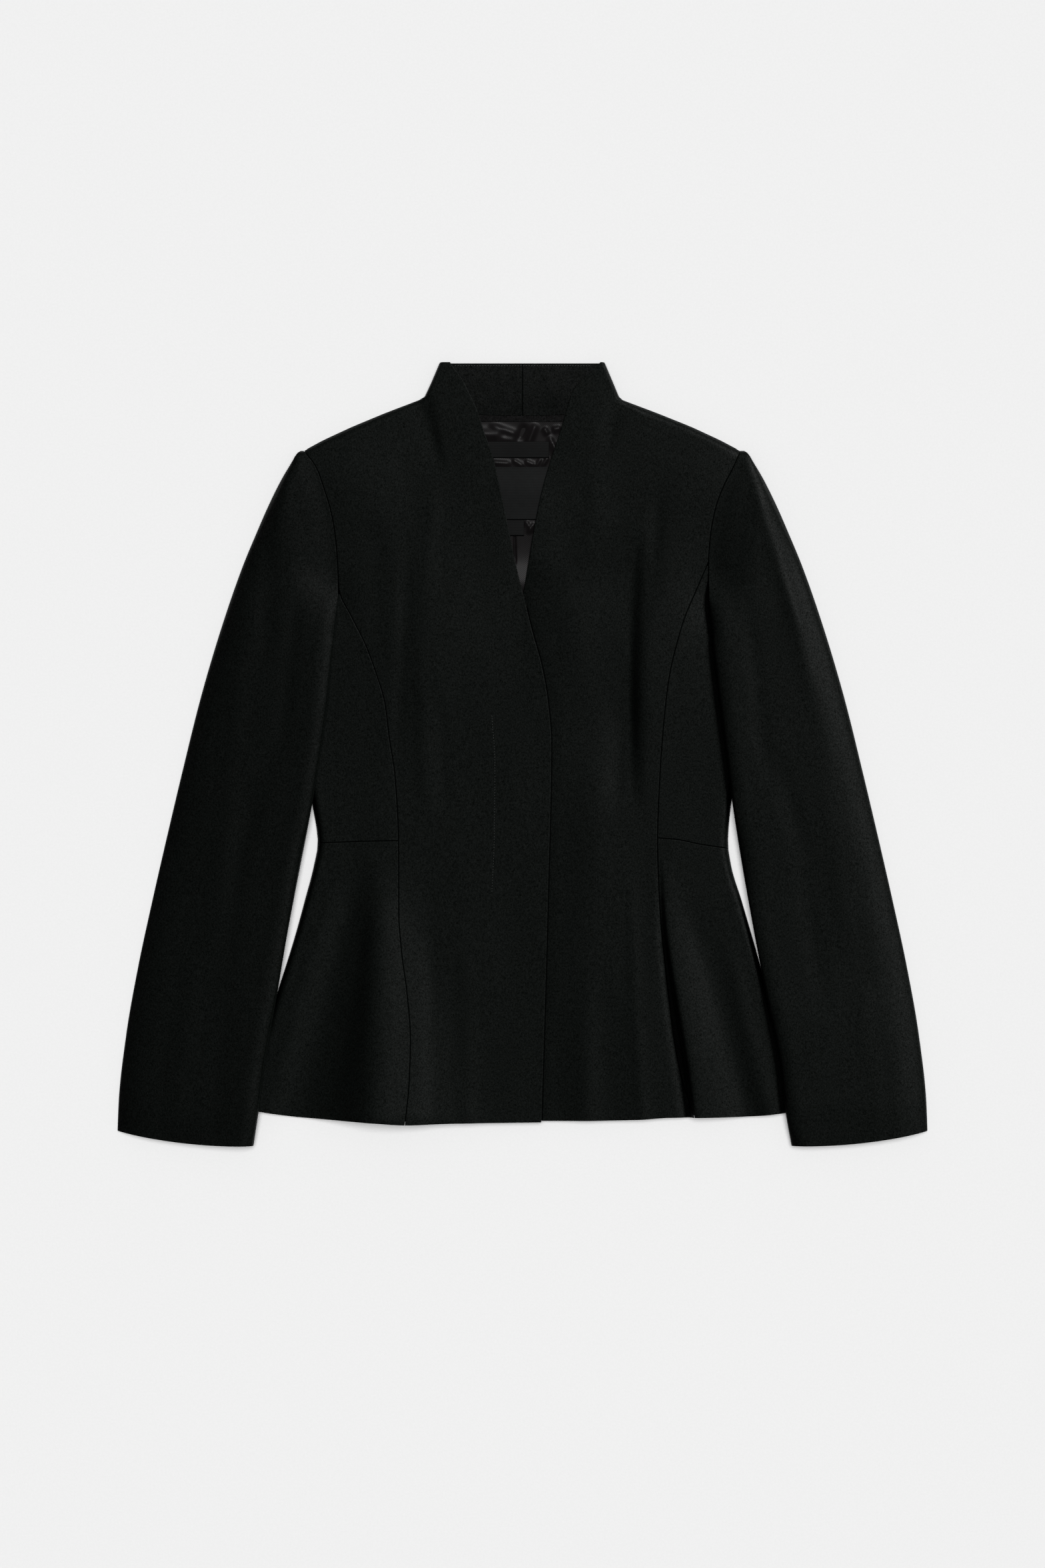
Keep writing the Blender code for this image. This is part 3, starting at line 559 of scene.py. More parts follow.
def grid_mesh(name, outer, inner, sign, mat):
    """Closed mesh of a wall from its outer and inner grids in millimetres.

    Its UV map is the distance along the cloth in metres: u the running length of each row, from the middle
    column, and v the running length of each column, from the first row.
    """
    outer, inner = outer * (sign, 1, 1), inner * (sign, 1, 1)
    if sign > 0:
        outer, inner = outer[:, ::-1], inner[:, ::-1]
    rows, cols = outer.shape[:2]
    index = np.arange(rows * cols).reshape(rows, cols)
    other = index + rows * cols

    def quads(a, b, c, d):
        return np.stack([a.ravel(), b.ravel(), c.ravel(), d.ravel()], -1)

    faces = [quads(index[:-1, :-1], index[:-1, 1:], index[1:, 1:], index[1:, :-1])]
    faces.append(quads(other[:-1, :-1], other[1:, :-1], other[1:, 1:], other[:-1, 1:]))
    rim = np.concatenate([index[0, :-1], index[:-1, -1], index[-1, :0:-1], index[:0:-1, 0]])
    low_rim = rim + rows * cols
    faces.append(quads(rim, low_rim, np.roll(low_rim, -1), np.roll(rim, -1)))
    faces = np.concatenate(faces)
    points = np.concatenate([outer.reshape(-1, 3), inner.reshape(-1, 3)]) * MM
    a, b, c = points[faces[:, 0]], points[faces[:, 1]], points[faces[:, 2]]
    d = points[faces[:, 3]]
    volume = np.einsum("ij,ij->", a, np.cross(b, c)) + np.einsum("ij,ij->", a, np.cross(c, d))
    if volume < 0:
        faces = faces[:, ::-1]
    mesh = bpy.data.meshes.new(name)
    mesh.vertices.add(len(points))
    mesh.vertices.foreach_set("co", points.astype(np.float32).ravel())
    mesh.loops.add(faces.size)
    mesh.loops.foreach_set("vertex_index", faces.astype(np.int32).ravel())
    mesh.polygons.add(len(faces))
    mesh.polygons.foreach_set("loop_start", np.arange(0, faces.size, 4, dtype=np.int32))
    mesh.update(calc_edges=True)
    across = np.linalg.norm(np.diff(outer, axis=1), axis=-1).cumsum(1)
    down = np.linalg.norm(np.diff(outer, axis=0), axis=-1).cumsum(0)
    u = np.concatenate([np.zeros((rows, 1)), across], 1)
    u = u - u[:, cols // 2 : cols // 2 + 1]
    v = np.concatenate([np.zeros((1, cols)), down], 0)
    flat = np.stack([u, v], -1).reshape(-1, 2) * MM
    flat = np.concatenate([flat, flat])
    layer = mesh.uv_layers.new(name="cloth")
    layer.data.foreach_set("uv", flat[faces.ravel()].astype(np.float32).ravel())
    mesh.validate()
    mesh.shade_smooth()
    mesh.set_sharp_from_angle(angle=np.radians(SHARP_TURN))
    mesh.materials.append(mat)
    item = bpy.data.objects.new(name, mesh)
    bpy.context.scene.collection.objects.link(item)
    return item


def dress(item, node):
    """Fasten a sheet to the root body and hide its CAD node."""
    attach(item, "root")
    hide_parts(node)


# Least width or length given for a cut piece, in metres; the tape shows only half of this
SHORTEST_CUT = 0.01


def cut_size(rows, near, far, stretch=1.0):
    """Width, length and area of a cut piece, in metres, from the limits of its rows."""
    width = (far(rows) - near(rows)) * stretch
    length = abs(rows[0] - rows[-1])
    area = abs(np.trapz(width, rows)) * MM * MM
    wide = (far(rows).max() - near(rows).min()) * stretch * MM
    length = max(length * MM, SHORTEST_CUT)
    return (float(wide), float(length)), float(min(area, wide * length))


def srgb(code):
    """Linear colour of an sRGB hex value."""
    values = [int(code[i : i + 2], 16) / 255 for i in (1, 3, 5)]
    return tuple(v / 12.92 if v <= 0.04045 else ((v + 0.055) / 1.055) ** 2.4 for v in values)


def add(tree, kind, links=None, **settings):
    """One shader node with its settings; links maps an input's name or number to a socket or a value."""
    node = tree.nodes.new(kind)
    for key, value in settings.items():
        setattr(node, key, value)
    for key, value in (links or {}).items():
        if isinstance(value, bpy.types.NodeSocket):
            tree.links.new(value, node.inputs[key])
        else:
            node.inputs[key].default_value = value
    return node


def noise(tree, place, size, detail=2.0, roughness=0.5):
    """Value of a noise texture whose grain is given in millimetres."""
    return add(tree, "ShaderNodeTexNoise", {"Vector": place, "Scale": 1 / (size * MM), "Detail": detail,
                                            "Roughness": roughness}).outputs["Fac"]


def ramp(tree, value, start, end, low, high):
    """Value carried from the range start to end to the range low to high, and held beyond its ends."""
    return add(tree, "ShaderNodeMapRange", {"Value": value, "From Min": start, "From Max": end,
                                            "To Min": low, "To Max": high}).outputs[0]


def maths(tree, operation, a, b):
    """Sum or product of two values."""
    return add(tree, "ShaderNodeMath", {0: a, 1: b}, operation=operation).outputs[0]


def two_tones(tree, shader, share, dark, light):
    """Base colour of a shader: a dark and a light tone, mixed by a share."""
    mixed = add(tree, "ShaderNodeMix", {"Factor": share, 6: (*dark, 1), 7: (*light, 1)}, data_type="RGBA")
    tree.links.new(mixed.outputs[2], shader.inputs["Base Color"])


def relief(tree, shader, height, strength, depth):
    """Bump of a shader, with its depth in millimetres."""
    bump = add(tree, "ShaderNodeBump", {"Height": height, "Strength": strength, "Distance": depth * MM})
    tree.links.new(bump.outputs[0], shader.inputs["Normal"])


def finish(shader, roughness, level):
    """Roughness and specular level of a shader."""
    shader.inputs["Roughness"].default_value = roughness
    shader.inputs["Specular IOR Level"].default_value = level


def empty_material(name):
    """A material with a bare Principled shader; returns it, its tree and the shader."""
    mat = bpy.data.materials.new(name)
    mat.use_nodes = True
    return mat, mat.node_tree, mat.node_tree.nodes["Principled BSDF"]


# Painted shade on the wool and the tape by how far a face turns from the eye, from facing it (0) to seen
# along it (1):
# start, end, change. It darkens the walls of seams and folds seen from above, lightens faces seen from the
# side again, and darkens the grazing edge.
TILT_SHADE = ((0.05, 0.35, -0.63), (0.35, 0.47, 0.62), (0.62, 0.8, -0.5))
# Grain of the cloths in millimetres. Real worsted has threads 0.4 mm apart; drawn coarser, so that it shows.
WOOL_GRAIN = 1.15
WOOL_MOTTLE = 5.0
SATIN_GRAIN = 0.7
SATIN_TWILL = 0.9
SATIN_CLOUD = 9.0
LABEL_GRAIN = 0.8
LABEL_CLOUD = 6.0
# A wave texture's bands are about this many times closer than its scale says
WAVE_TURN = 3.1
# Specular level that the wool's and the tape's lightest fibres reach
WOOL_GLINT = 0.154
TAPE_GLINT = 0.132


def wool_material(name, dark, light, glint):
    """Worsted wool, milled finish: near black, with a speckle of lighter fibres that also glint a little, and
    painted shade where a face turns from the eye.
    """
    mat, tree, shader = empty_material(name)
    place = add(tree, "ShaderNodeTexCoord").outputs["Object"]
    drawn = add(tree, "ShaderNodeMapping", {"Vector": place, "Scale": (1.0, 0.6, 1.0)}).outputs[0]
    fine = noise(tree, drawn, WOOL_GRAIN, 3.0, 1.0)
    cloud = ramp(tree, noise(tree, place, WOOL_MOTTLE, 3.0, 0.6), 0.3, 0.7, 0.9, 1.08)
    facing = add(tree, "ShaderNodeLayerWeight", {"Blend": 0.5}).outputs["Facing"]
    # Painted shade on faces turned from the eye, lifted again for faces seen from the side
    tilt_shade = 1.0
    for start, end, step in TILT_SHADE:
        tilt_shade = maths(tree, "ADD", tilt_shade, ramp(tree, facing, start, end, 0.0, step))
    speck = ramp(tree, fine, 0.32, 0.66, 0.0, 1.0)
    share = maths(tree, "MULTIPLY", speck, maths(tree, "MULTIPLY", cloud, tilt_shade))
    two_tones(tree, shader, share, dark, light)
    relief(tree, shader, fine, 0.4, 0.25)
    shader.inputs["Roughness"].default_value = 0.6
    tree.links.new(ramp(tree, share, 0.0, 1.0, 0.0, glint), shader.inputs["Specular IOR Level"])
    return mat


def satin_material(name, dark, light):
    """Acetate satin, calendered: long floats run across and catch the light in broad soft streaks."""
    mat, tree, shader = empty_material(name)
    uv = add(tree, "ShaderNodeUVMap", uv_map="cloth").outputs["UV"]
    turned = add(tree, "ShaderNodeMapping", {"Vector": uv, "Rotation": (0, 0, np.radians(38)),
                                             "Scale": (1.0, 0.12, 1.0)}).outputs[0]
    two_tones(tree, shader, noise(tree, uv, SATIN_CLOUD), dark, light)
    twill = add(tree, "ShaderNodeTexWave", {"Vector": uv, "Scale": 1 / (SATIN_TWILL * MM * WAVE_TURN),
                                            "Distortion": 0.5}, bands_direction="DIAGONAL").outputs["Fac"]
    relief(tree, shader, maths(tree, "ADD", noise(tree, turned, SATIN_GRAIN, 1.0), twill), 0.09, 0.2)
    finish(shader, 0.34, 0.07)
    return mat


def label_material(name, dark, light):
    """Woven polyester ribbon: fine cross ribs, slightly shiny."""
    mat, tree, shader = empty_material(name)
    uv = add(tree, "ShaderNodeUVMap", uv_map="cloth").outputs["UV"]
    two_tones(tree, shader, noise(tree, uv, LABEL_CLOUD, 4.0, 0.75), dark, light)
    ribs = add(tree, "ShaderNodeTexWave", {"Vector": uv, "Scale": 1 / (LABEL_GRAIN * MM * WAVE_TURN),
                                           "Distortion": 0.4, "Detail": 1.0}, bands_direction="Y")
    relief(tree, shader, ribs.outputs["Fac"], 0.12, 0.2)
    finish(shader, 0.5, 0.09)
    return mat


def plain_material(name, colour, roughness, level=0.5):
    """One even finish: sewing thread, or the paper of the floor."""
    mat, tree, shader = empty_material(name)
    place = add(tree, "ShaderNodeTexCoord").outputs["Object"]
    grain = add(tree, "ShaderNodeTexNoise", {"Vector": place, "Scale": 600.0}).outputs["Fac"]
    tone = ramp(tree, grain, 0.0, 1.0, 0.97, 1.03)
    scaled = add(tree, "ShaderNodeVectorMath", {0: tuple(colour), "Scale": tone}, operation="SCALE")
    tree.links.new(scaled.outputs[0], shader.inputs["Base Color"])
    finish(shader, roughness, level)
    return mat


MATERIALS = {}


def finish_of(kind):
    """Each material, made once from the colours in the panel."""
    colours = bpy.context.scene.jacket_colours
    if kind not in MATERIALS:
        MATERIALS[kind] = {
            "wool": lambda: wool_material("worsted_wool", colours.wool_dark, colours.wool_light, WOOL_GLINT),
            "satin": lambda: satin_material("acetate_satin", colours.satin_dark, colours.satin_light),
            "tape": lambda: wool_material("cotton_tape", colours.tape_dark, colours.tape_light, TAPE_GLINT),
            "label_grey": lambda: label_material("woven_label_grey", srgb("#070808"), srgb("#191b1b")),
            "label_black": lambda: label_material("woven_label_black", srgb("#030404"), srgb("#0e0f0f")),
            "thread": lambda: plain_material("polyester_thread", colours.thread, 0.55),
            "light_thread": lambda: plain_material("grey_polyester_thread", srgb("#6a6d6b"), 0.55),
            "dark_thread": lambda: plain_material("black_polyester_thread", srgb("#050505"), 0.55),
            "floor": lambda: plain_material("matt_paper_floor", colours.floor, 0.9, 0.2),
        }[kind]()
    return MATERIALS[kind]


def waved(half, m, y, z, turned):
    """A surface with its slow waves, which fade where it turns down and where it nears the table."""
    return z + wave_height(half.sign * m, y) * (1 - turned) * smoothstep((z - 5) / 4)


def add_wool(name, half, walls, cut):
    """A wool piece: its outer and inner points, and its cut (rows, near, far, stretch), whose size is worked
    out and not used.
    """
    item = grid_mesh(f"{name}_cloth", *walls, half.sign, finish_of("wool"))
    flat, area = cut_size(*cut)
    dress(item, name)


def front_limits(half):
    """Limits of a centre front: near, its neck and front edge; far, collar, shoulder, armhole, princess."""

    def far(y):
        upper = straight(SHOULDER, half.name, y)
        arm = read(ARMHOLE, half.name, y) - SEAM / 2
        seam = read(PRINCESS, half.name, y) - SEAM / 2
        return np.where(y >= SHOULDER_END, upper, np.where(y > half.princess_top, arm, seam))

    return lambda y: -read(FRONT_EDGE, half.name, y), far


def hem_line(half):
    """Height of the hem at a distance from the centre."""
    return lambda m: read(HEM, half.name, m)


# How deep the lower front sinks along the edge that lies on it: a wide soft dip, and a groove right at it
EDGE_DIP = 1.0
EDGE_CRACK = 0.6


def make_front(half):
    """Centre front: rows from its front edge to shoulder and princess line, raised to the body's height."""
    near, far = front_limits(half)
    rows = fine_rows(COLLAR_TOP + 0.2, -323)
    slope = (far(rows - 1) - far(rows + 1)) / 2
    slant = np.where((rows > SHOULDER_END - 1) & (rows < 315), np.hypot(1, slope), 1)
    covered = half.name == "left"
    focus = np.maximum(read(FRONT_EDGE, "right", rows) - near(rows), 6) if covered else None
    m, y, edges = fine_plan(rows, 60, near, far, low=hem_line(half), slant_far=slant, focus=focus)
    z, turned, out_m, out_y = front_surface(half, m, y)
    z = waved(half, m, y, z, turned)
    if covered:
        past = m - read(FRONT_EDGE, "right", y)
        groove = EDGE_DIP * np.exp(-((np.maximum(past + 1, 0) / 7) ** 2))
        groove = groove + EDGE_CRACK * np.exp(-(((past - 0.3) / 0.5) ** 2))
        z = z - groove * smoothstep((172 - y) / 20)
    edges = {**edges, "far": np.where(y < SHOULDER_END, edges["far"], NO_EDGE)}
    walls = shell_points(m, y, (z, turned, out_m, out_y), FRONT_WALL, edges, ["far"], ["near", "top", "low"])
    add_wool(f"front_{half.name}", half, walls, (rows, near, far, 1.02))


def make_side_front(half):
    """Side front: rows from the princess seam to armhole and side seam, folded over at the side."""

    def far(y):
        return np.where(y > ARM_TURN, read(ARMHOLE, half.name, y) - SEAM / 2, read(SIDE, half.name, y))

    def near(y):
        return read(PRINCESS, half.name, y) + SEAM / 2

    rows = fine_rows(half.princess_top - 2, -76)
    m, y, edges = fine_plan(rows, 34, near, far, low=lambda m: read(WAIST, half.name, m))
    z, turned, out_m, out_y = side_surface(half, m, y)
    z = waved(half, m, y, z, turned)
    edges = {**edges, "far": np.where(y > ARM_TURN, edges["far"], NO_EDGE)}
    walls = shell_points(m, y, (z, turned, out_m, out_y), FRONT_WALL, edges, ["near", "far", "low"])
    add_wool(f"side_front_{half.name}", half, walls, (rows, near, far, 1.08))


def make_peplum(half):
    """Flared side peplum: rows from the princess line to the side fold, with its troughs and ridges."""

    def near(y):
        return read(PRINCESS, half.name, y) + SEAM / 2

    def far(y):
        return read(SIDE, half.name, y)

    rows = fine_rows(-76, -323)
    m, y, edges = fine_plan(rows, 50, near, far, top=lambda m: read(WAIST, half.name, m) - SEAM,
                            low=hem_line(half))
    z, turned, out_m, out_y = side_surface(half, m, y)
    z = waved(half, m, y, z, turned)
    walls = shell_points(m, y, (z, turned, out_m, out_y), FRONT_WALL, edges, ["near", "top"], ["low"])
    add_wool(f"peplum_side_{half.name}", half, walls, (rows, near, far, 1.08))


# Half the gap between the two backs and collar halves, closed up so that no floor shows through
CENTRE_GAP = 0.005


def centre(y):
    """Inner limit of the backs and the collar halves."""
    return CENTRE_GAP + 0 * y


def neck_curve(m):
    """Back neck seam, level at the centre and rising to the collar side."""
    return NECK_SEAM + (COLLAR_FOOT - NECK_SEAM) * (np.abs(m) / COLLAR_SIDE) ** 3


def neck_line(half, m):
    """Back neck seam, then the shoulder line."""
    shoulder = SHOULDER[3:]
    down = np.interp(m, [getattr(row, half.name) for row in shoulder], [row.y for row in shoulder])
    return np.where(np.abs(m) < COLLAR_SIDE + 1, neck_curve(m), down)


def flat_points(m, y, low, wall, edges, free=()):
    """Outer and inner points of a sheet on a lower face at height low, its free edges rounded."""
    roll = edge_depth(edges, free, wall * INNER_ROLL)
    low = low + 0 * m
    return np.stack([m, y, low + wall - roll], -1), np.stack([m, y, low], -1)


# Armhole of the back, heights y and distances from the centre
BACK_ARM = ((UNDERARM, UNDERARM_REACH), (110, 203.2), (150, 197.7), (190, 193.7), (230, 191.7), (264, 191.7))


def make_back(half):
    """Half of the back, flat on the table."""

    def far(y):
        arm = np.interp(y, *zip(*BACK_ARM))
        return np.where(y > UNDERARM, arm, read(SIDE, half.name, y))

    rows = fine_rows(297, -318, 9)
    m, y, edges = fine_plan(rows, 22, centre, far, top=lambda m: neck_line(half, m) - SEAM,
                            low=lambda m: read(HEM, half.name, m) + 1.5)
    walls = flat_points(m, y, 0, BACK_WALL, edges, ["low"])
    add_wool(f"back_{half.name}", half, walls, (rows, centre, far))


# Soft dents of the collar facing: place, half width, half height and rise
Dent = namedtuple("Dent", "x y wide tall rise")
DENTS = rows_of(
    Dent,
    (-10, 326, 3.2, 11, -0.9), (-18, 324, 4, 12, 0.3), (-24, 327, 4.5, 10, -0.5), (-38, 318, 7, 9, -0.7),
    (-2, 312, 4, 10, 0.4), (14, 325, 7, 12, -0.5), (26, 316, 8, 10, 0.5), (44, 326, 6, 11, -0.6),
)


def make_collar_half(half, name, low, wall, inset, puff):
    """Half of the back collar: the stand behind, or the facing, which swells a little and has soft dents."""

    def far(y):
        return straight(SHOULDER, half.name, np.maximum(y, 314)) - inset

    rows = fine_rows(COLLAR_TOP, NECK_SEAM, 2.5)
    m, y, edges = fine_plan(rows, 32, centre, far, low=neck_curve)
    middle = np.clip((y - NECK_SEAM) / (COLLAR_TOP - NECK_SEAM), 0, 1)
    lift = puff * np.sin(np.pi * middle) * (1 - smoothstep((m - 40) / 30))
    if puff:
        for dent in DENTS:
            lift = lift + dent.rise * bell(half.sign * m, y, dent.x, dent.y, dent.wide, dent.tall)
    outer, inner = flat_points(m, y, low + lift, wall, edges, ["top"])
    outer[..., 2] -= edge_depth(edges, ["near"], SEAM_ROLL)
    add_wool(f"{name}_{half.name}", half, (outer, inner), (rows, centre, far))


def lining_half_width(y):
    """The lining narrows from the back neck to below the point of the V."""
    return 47 - 27 * (NECK_SEAM - y) / (NECK_SEAM - LINING_END)


def satin_height(x, y):
    """Upper face of the satin: level, with the wrinkles as soft ridges between two ends."""
    z = FOLD_EDGE + LINING_WALL + 0 * x
    for w in WRINKLES:
        along_x, along_y = w.x1 - w.x0, w.y1 - w.y0
        size = np.hypot(along_x, along_y)
        t = ((x - w.x0) * along_x + (y - w.y0) * along_y) / size**2
        off = ((y - w.y0) * along_x - (x - w.x0) * along_y) / size
        ends = smoothstep((t + 0.25) / 0.4) * smoothstep((1.25 - t) / 0.4)
        z = z + w.rise * ends * np.exp(-((off / w.wide) ** 2))
    return z


def make_lining(name, node, top, low, slot, top_line=None, wrinkled=True):
    """A strip of the back lining between two heights, across both halves."""
    rows = fine_rows(top, low, 1.1 if wrinkled else 1.0)
    m, y, edges = fine_plan(rows, 84, lambda y: -lining_half_width(y), lining_half_width, top=top_line)
    z = satin_height(m, y) if wrinkled else FOLD_EDGE + LINING_WALL + 0 * m
    outer = np.stack([m, y, z], -1)
    inner = np.stack([m, y, FOLD_EDGE + 0 * m], -1)
    item = grid_mesh(name, outer, inner, 1, finish_of(slot))
    flat, area = cut_size(rows, lambda y: -lining_half_width(y), lining_half_width)
    dress(item, node)


Label = namedtuple("Label", "name slot x_low x_high y_low y_high")
LABELS = (
    Label("label_fibre", "label_black", -36.0, 23.5, 260.2, 274.5),
    Label("label_main", "label_grey", -30.0, 29.0, 206.0, 252.3),
    Label("label_size", "label_black", -15.0, 1.4, 191.9, 205.5),
)
LABEL_SHEET = 0.6
LABEL_AIR = 0.75


def label_top(x, y):
    """Upper face of a label: the lining's level, a little air and the ribbon's wall, in two low waves."""
    level = FOLD_EDGE + LINING_WALL + LABEL_AIR + LABEL_SHEET
    return level + 0.25 * np.sin(x / 9 + 0.8) + 0.15 * np.sin(y / 7)


def make_label(label):
    """A bare woven ribbon, sewn along its edges."""
    x = np.concatenate([label.x_low + EDGE, np.arange(label.x_low + 3.4, label.x_high - 3, 1.2),
                        label.x_high - EDGE[::-1]])
    y = np.concatenate([label.y_high - EDGE, np.arange(label.y_high - 3.4, label.y_low + 3, -1.2),
                        label.y_low + EDGE[::-1]])
    x, y = np.meshgrid(x, y)
    edges = {"left": x - label.x_low, "right": label.x_high - x,
             "top": label.y_high - y, "low": y - label.y_low}
    z = label_top(x, y)
    drop = edge_depth(edges, list(edges), 0.25)
    outer = np.stack([x, y, z - drop], -1)
    inner = np.stack([x, y, z - LABEL_SHEET + 0 * x], -1)
    item = grid_mesh(f"{label.name}_ribbon", outer, inner, 1, finish_of(label.slot))
    dress(item, label.name)


def sleeve_limits(half):
    """Inner and outer limits of the upper sleeve."""

    def inner(y):
        arm = read(ARMHOLE, half.name, y) + SEAM / 2
        return np.where(y > ARM_TURN, arm, read(SLEEVE_INNER, half.name, y))

    return inner, lambda y: read(ARM, "outer", y)


def cuff_line(m):
    """Lower edge of the cuff: level inside, rising to the outer corner."""
    return CUFF + 13 * (np.maximum(m - 248, 0) / 108.5) ** 2


def make_sleeve_upper(half):
    """Upper sleeve: rows from armhole or inner fold to outer fold, arched over its crown."""
    near, far = sleeve_limits(half)
    rows = fine_rows(266.2, CUFF)
    m, y, edges = fine_plan(rows, 44, near, far, low=cuff_line)
    z, turned, out_m, out_y = sleeve_surface(half, m, y, near(y), far(y))
    z = z + 0.9 * wave_height(half.sign * m + 31, y - 17) * (1 - np.abs(turned)) * smoothstep((z - 5) / 4)
    edges = {**edges, "near": np.where(y > ARM_TURN, edges["near"], NO_EDGE)}
    walls = shell_points(m, y, (z, turned, out_m, out_y), SLEEVE_WALL, edges, ["near"], ["low"])
    add_wool(f"sleeve_upper_{half.name}", half, walls, (rows, near, far, 1.1))


def under_limits(half):
    """Inner and outer limits of the under sleeve."""

    def inner(y):
        return np.where(y >= SLEEVE_SPLIT, straight(UNDER, half.name, y), read(SLEEVE_INNER, half.name, y))

    return inner, lambda y: read(ARM, "outer", y)


def make_sleeve_under(half):
    """Under sleeve and its head: flat on the table, lifted where it lies over the side of the body."""
    near, far = under_limits(half)
    low_rows = [HEAD_SPLIT - SEAM / 2, 126, 122, 118, 114, 110, 106, 102, 98, *np.arange(96, 87.9, -0.5)]
    low_rows = np.concatenate([low_rows, fine_rows(86, CUFF, 4)])
    for node, rows, low in (
        ("sleeve_under_head", fine_rows(264, HEAD_SPLIT + SEAM / 2, 5), None),
        ("sleeve_under", low_rows, cuff_line),
    ):
        m, y, edges = fine_plan(rows, 40, near, far, low=low)
        lift = sleeve_lift(half, m, y) if low else 0
        walls = flat_points(m, y, lift, SLEEVE_WALL, edges, ["low"] if low else [])
        add_wool(f"{node}_{half.name}", half, walls, (rows, near, far, 1.02))


def stitch_line(name, x, y, z, thread="thread"):
    """Stitches along a path: each a short six-sided bead of thread, thin at its ends."""
    sizes = bpy.context.scene.jacket_sizes
    length, pitch, radius = (round(v / MM, 4) for v in (sizes.stitch_length, sizes.stitch_pitch,
                                                        sizes.thread_radius))
    steps = np.hypot(np.diff(x), np.diff(y))
    run = np.concatenate([[0], steps.cumsum()])
    starts = np.arange(0.5, run[-1] - length, pitch)
    share = np.array([0, 0.12, 0.5, 0.88, 1])
    girth = np.array([0.25, 0.85, 1, 0.85, 0.25])
    at = starts[:, None] + share * length
    px, py, pz = (np.interp(at, run, c) for c in (x, y, z))
    along = np.stack([px[:, -1] - px[:, 0], py[:, -1] - py[:, 0]], -1)
    along = along / np.linalg.norm(along, axis=1, keepdims=True)
    turn = np.linspace(0, 2 * np.pi, 7)[:-1]
    side = np.cos(turn) * girth[:, None] * radius
    lift = np.sin(turn) * girth[:, None] * radius
    ring = np.stack([
        px[:, :, None] - along[:, 1, None, None] * side,
        py[:, :, None] + along[:, 0, None, None] * side,
        pz[:, :, None] + lift + 0 * side,
    ], -1) * MM
    count, rings, sides = ring.shape[:3]
    index = np.arange(count * rings * sides).reshape(count, rings, sides)
    nxt = np.roll(index, -1, 2)
    quads = np.stack([index[:, :-1], nxt[:, :-1], nxt[:, 1:], index[:, 1:]], -1).reshape(-1, 4).tolist()
    caps = index[:, 0, ::-1].tolist() + index[:, -1].tolist()
    mesh = bpy.data.meshes.new(name)
    mesh.from_pydata(ring.reshape(-1, 3).tolist(), [], quads + caps)
    mesh.shade_smooth()
    mesh.materials.append(finish_of(thread))
    item = bpy.data.objects.new(name, mesh)
    bpy.context.scene.collection.objects.link(item)
    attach(item, "root")


# Line of the hidden fly's stitching on the wearer's right front
FlyPoint = namedtuple("FlyPoint", "y x")
FLY_LINE = (FlyPoint(34, -27.0), FlyPoint(-11, -24.2), FlyPoint(-79, -25.0), FlyPoint(-122, -27.0))


def make_stitches():
    """Fly stitches on the front, edge stitches on the collar facing, and the stitches round each label."""
    right = HALVES[0]
    y = np.linspace(FLY_LINE[0].y, FLY_LINE[-1].y, 160)
    x = read(FLY_LINE, "x", y)
    z, _, _, _ = front_surface(right, -x, y)
    stitch_line("fly_stitches", x, y, z + wave_height(x, y) + 0.05)
    x = np.linspace(-60, 60, 121)
    y = COLLAR_TOP - 2.2 + 0 * x
    z = FOLD_EDGE + FACING_WALL + 0.3 + 0 * x
    stitch_line("collar_edge_stitches", x, y, z, "light_thread")
    for label in LABELS:
        inset = 0.9
        x0, x1 = label.x_low + inset, label.x_high - inset
        y0, y1 = label.y_low + inset, label.y_high - inset
        across = np.linspace(x0, x1, 30)
        for tag, height in (("top", y1), ("low", y0)):
            stitch_line(f"{label.name}_{tag}_stitches", across, height + 0 * across,
                        label_top(across, height) + 0.02, "dark_thread")


# Camera: height and height of its view in metres, lens in millimetres, and where along Y it looks
CAMERA_HEIGHT = 3.257
LENS = 85.0
VIEW_TALL = 1.3794
VIEW_CENTRE_Y = -0.0264
# Floor: half its side and its height, just under the jacket
FLOOR_HALF = 4.0
FLOOR_DROP = -0.0003
# Where the window's light comes from, and its share on the far sleeve
WINDOW = (0.95, 0.75, 0.75)
FAR_SHARE = 0.78


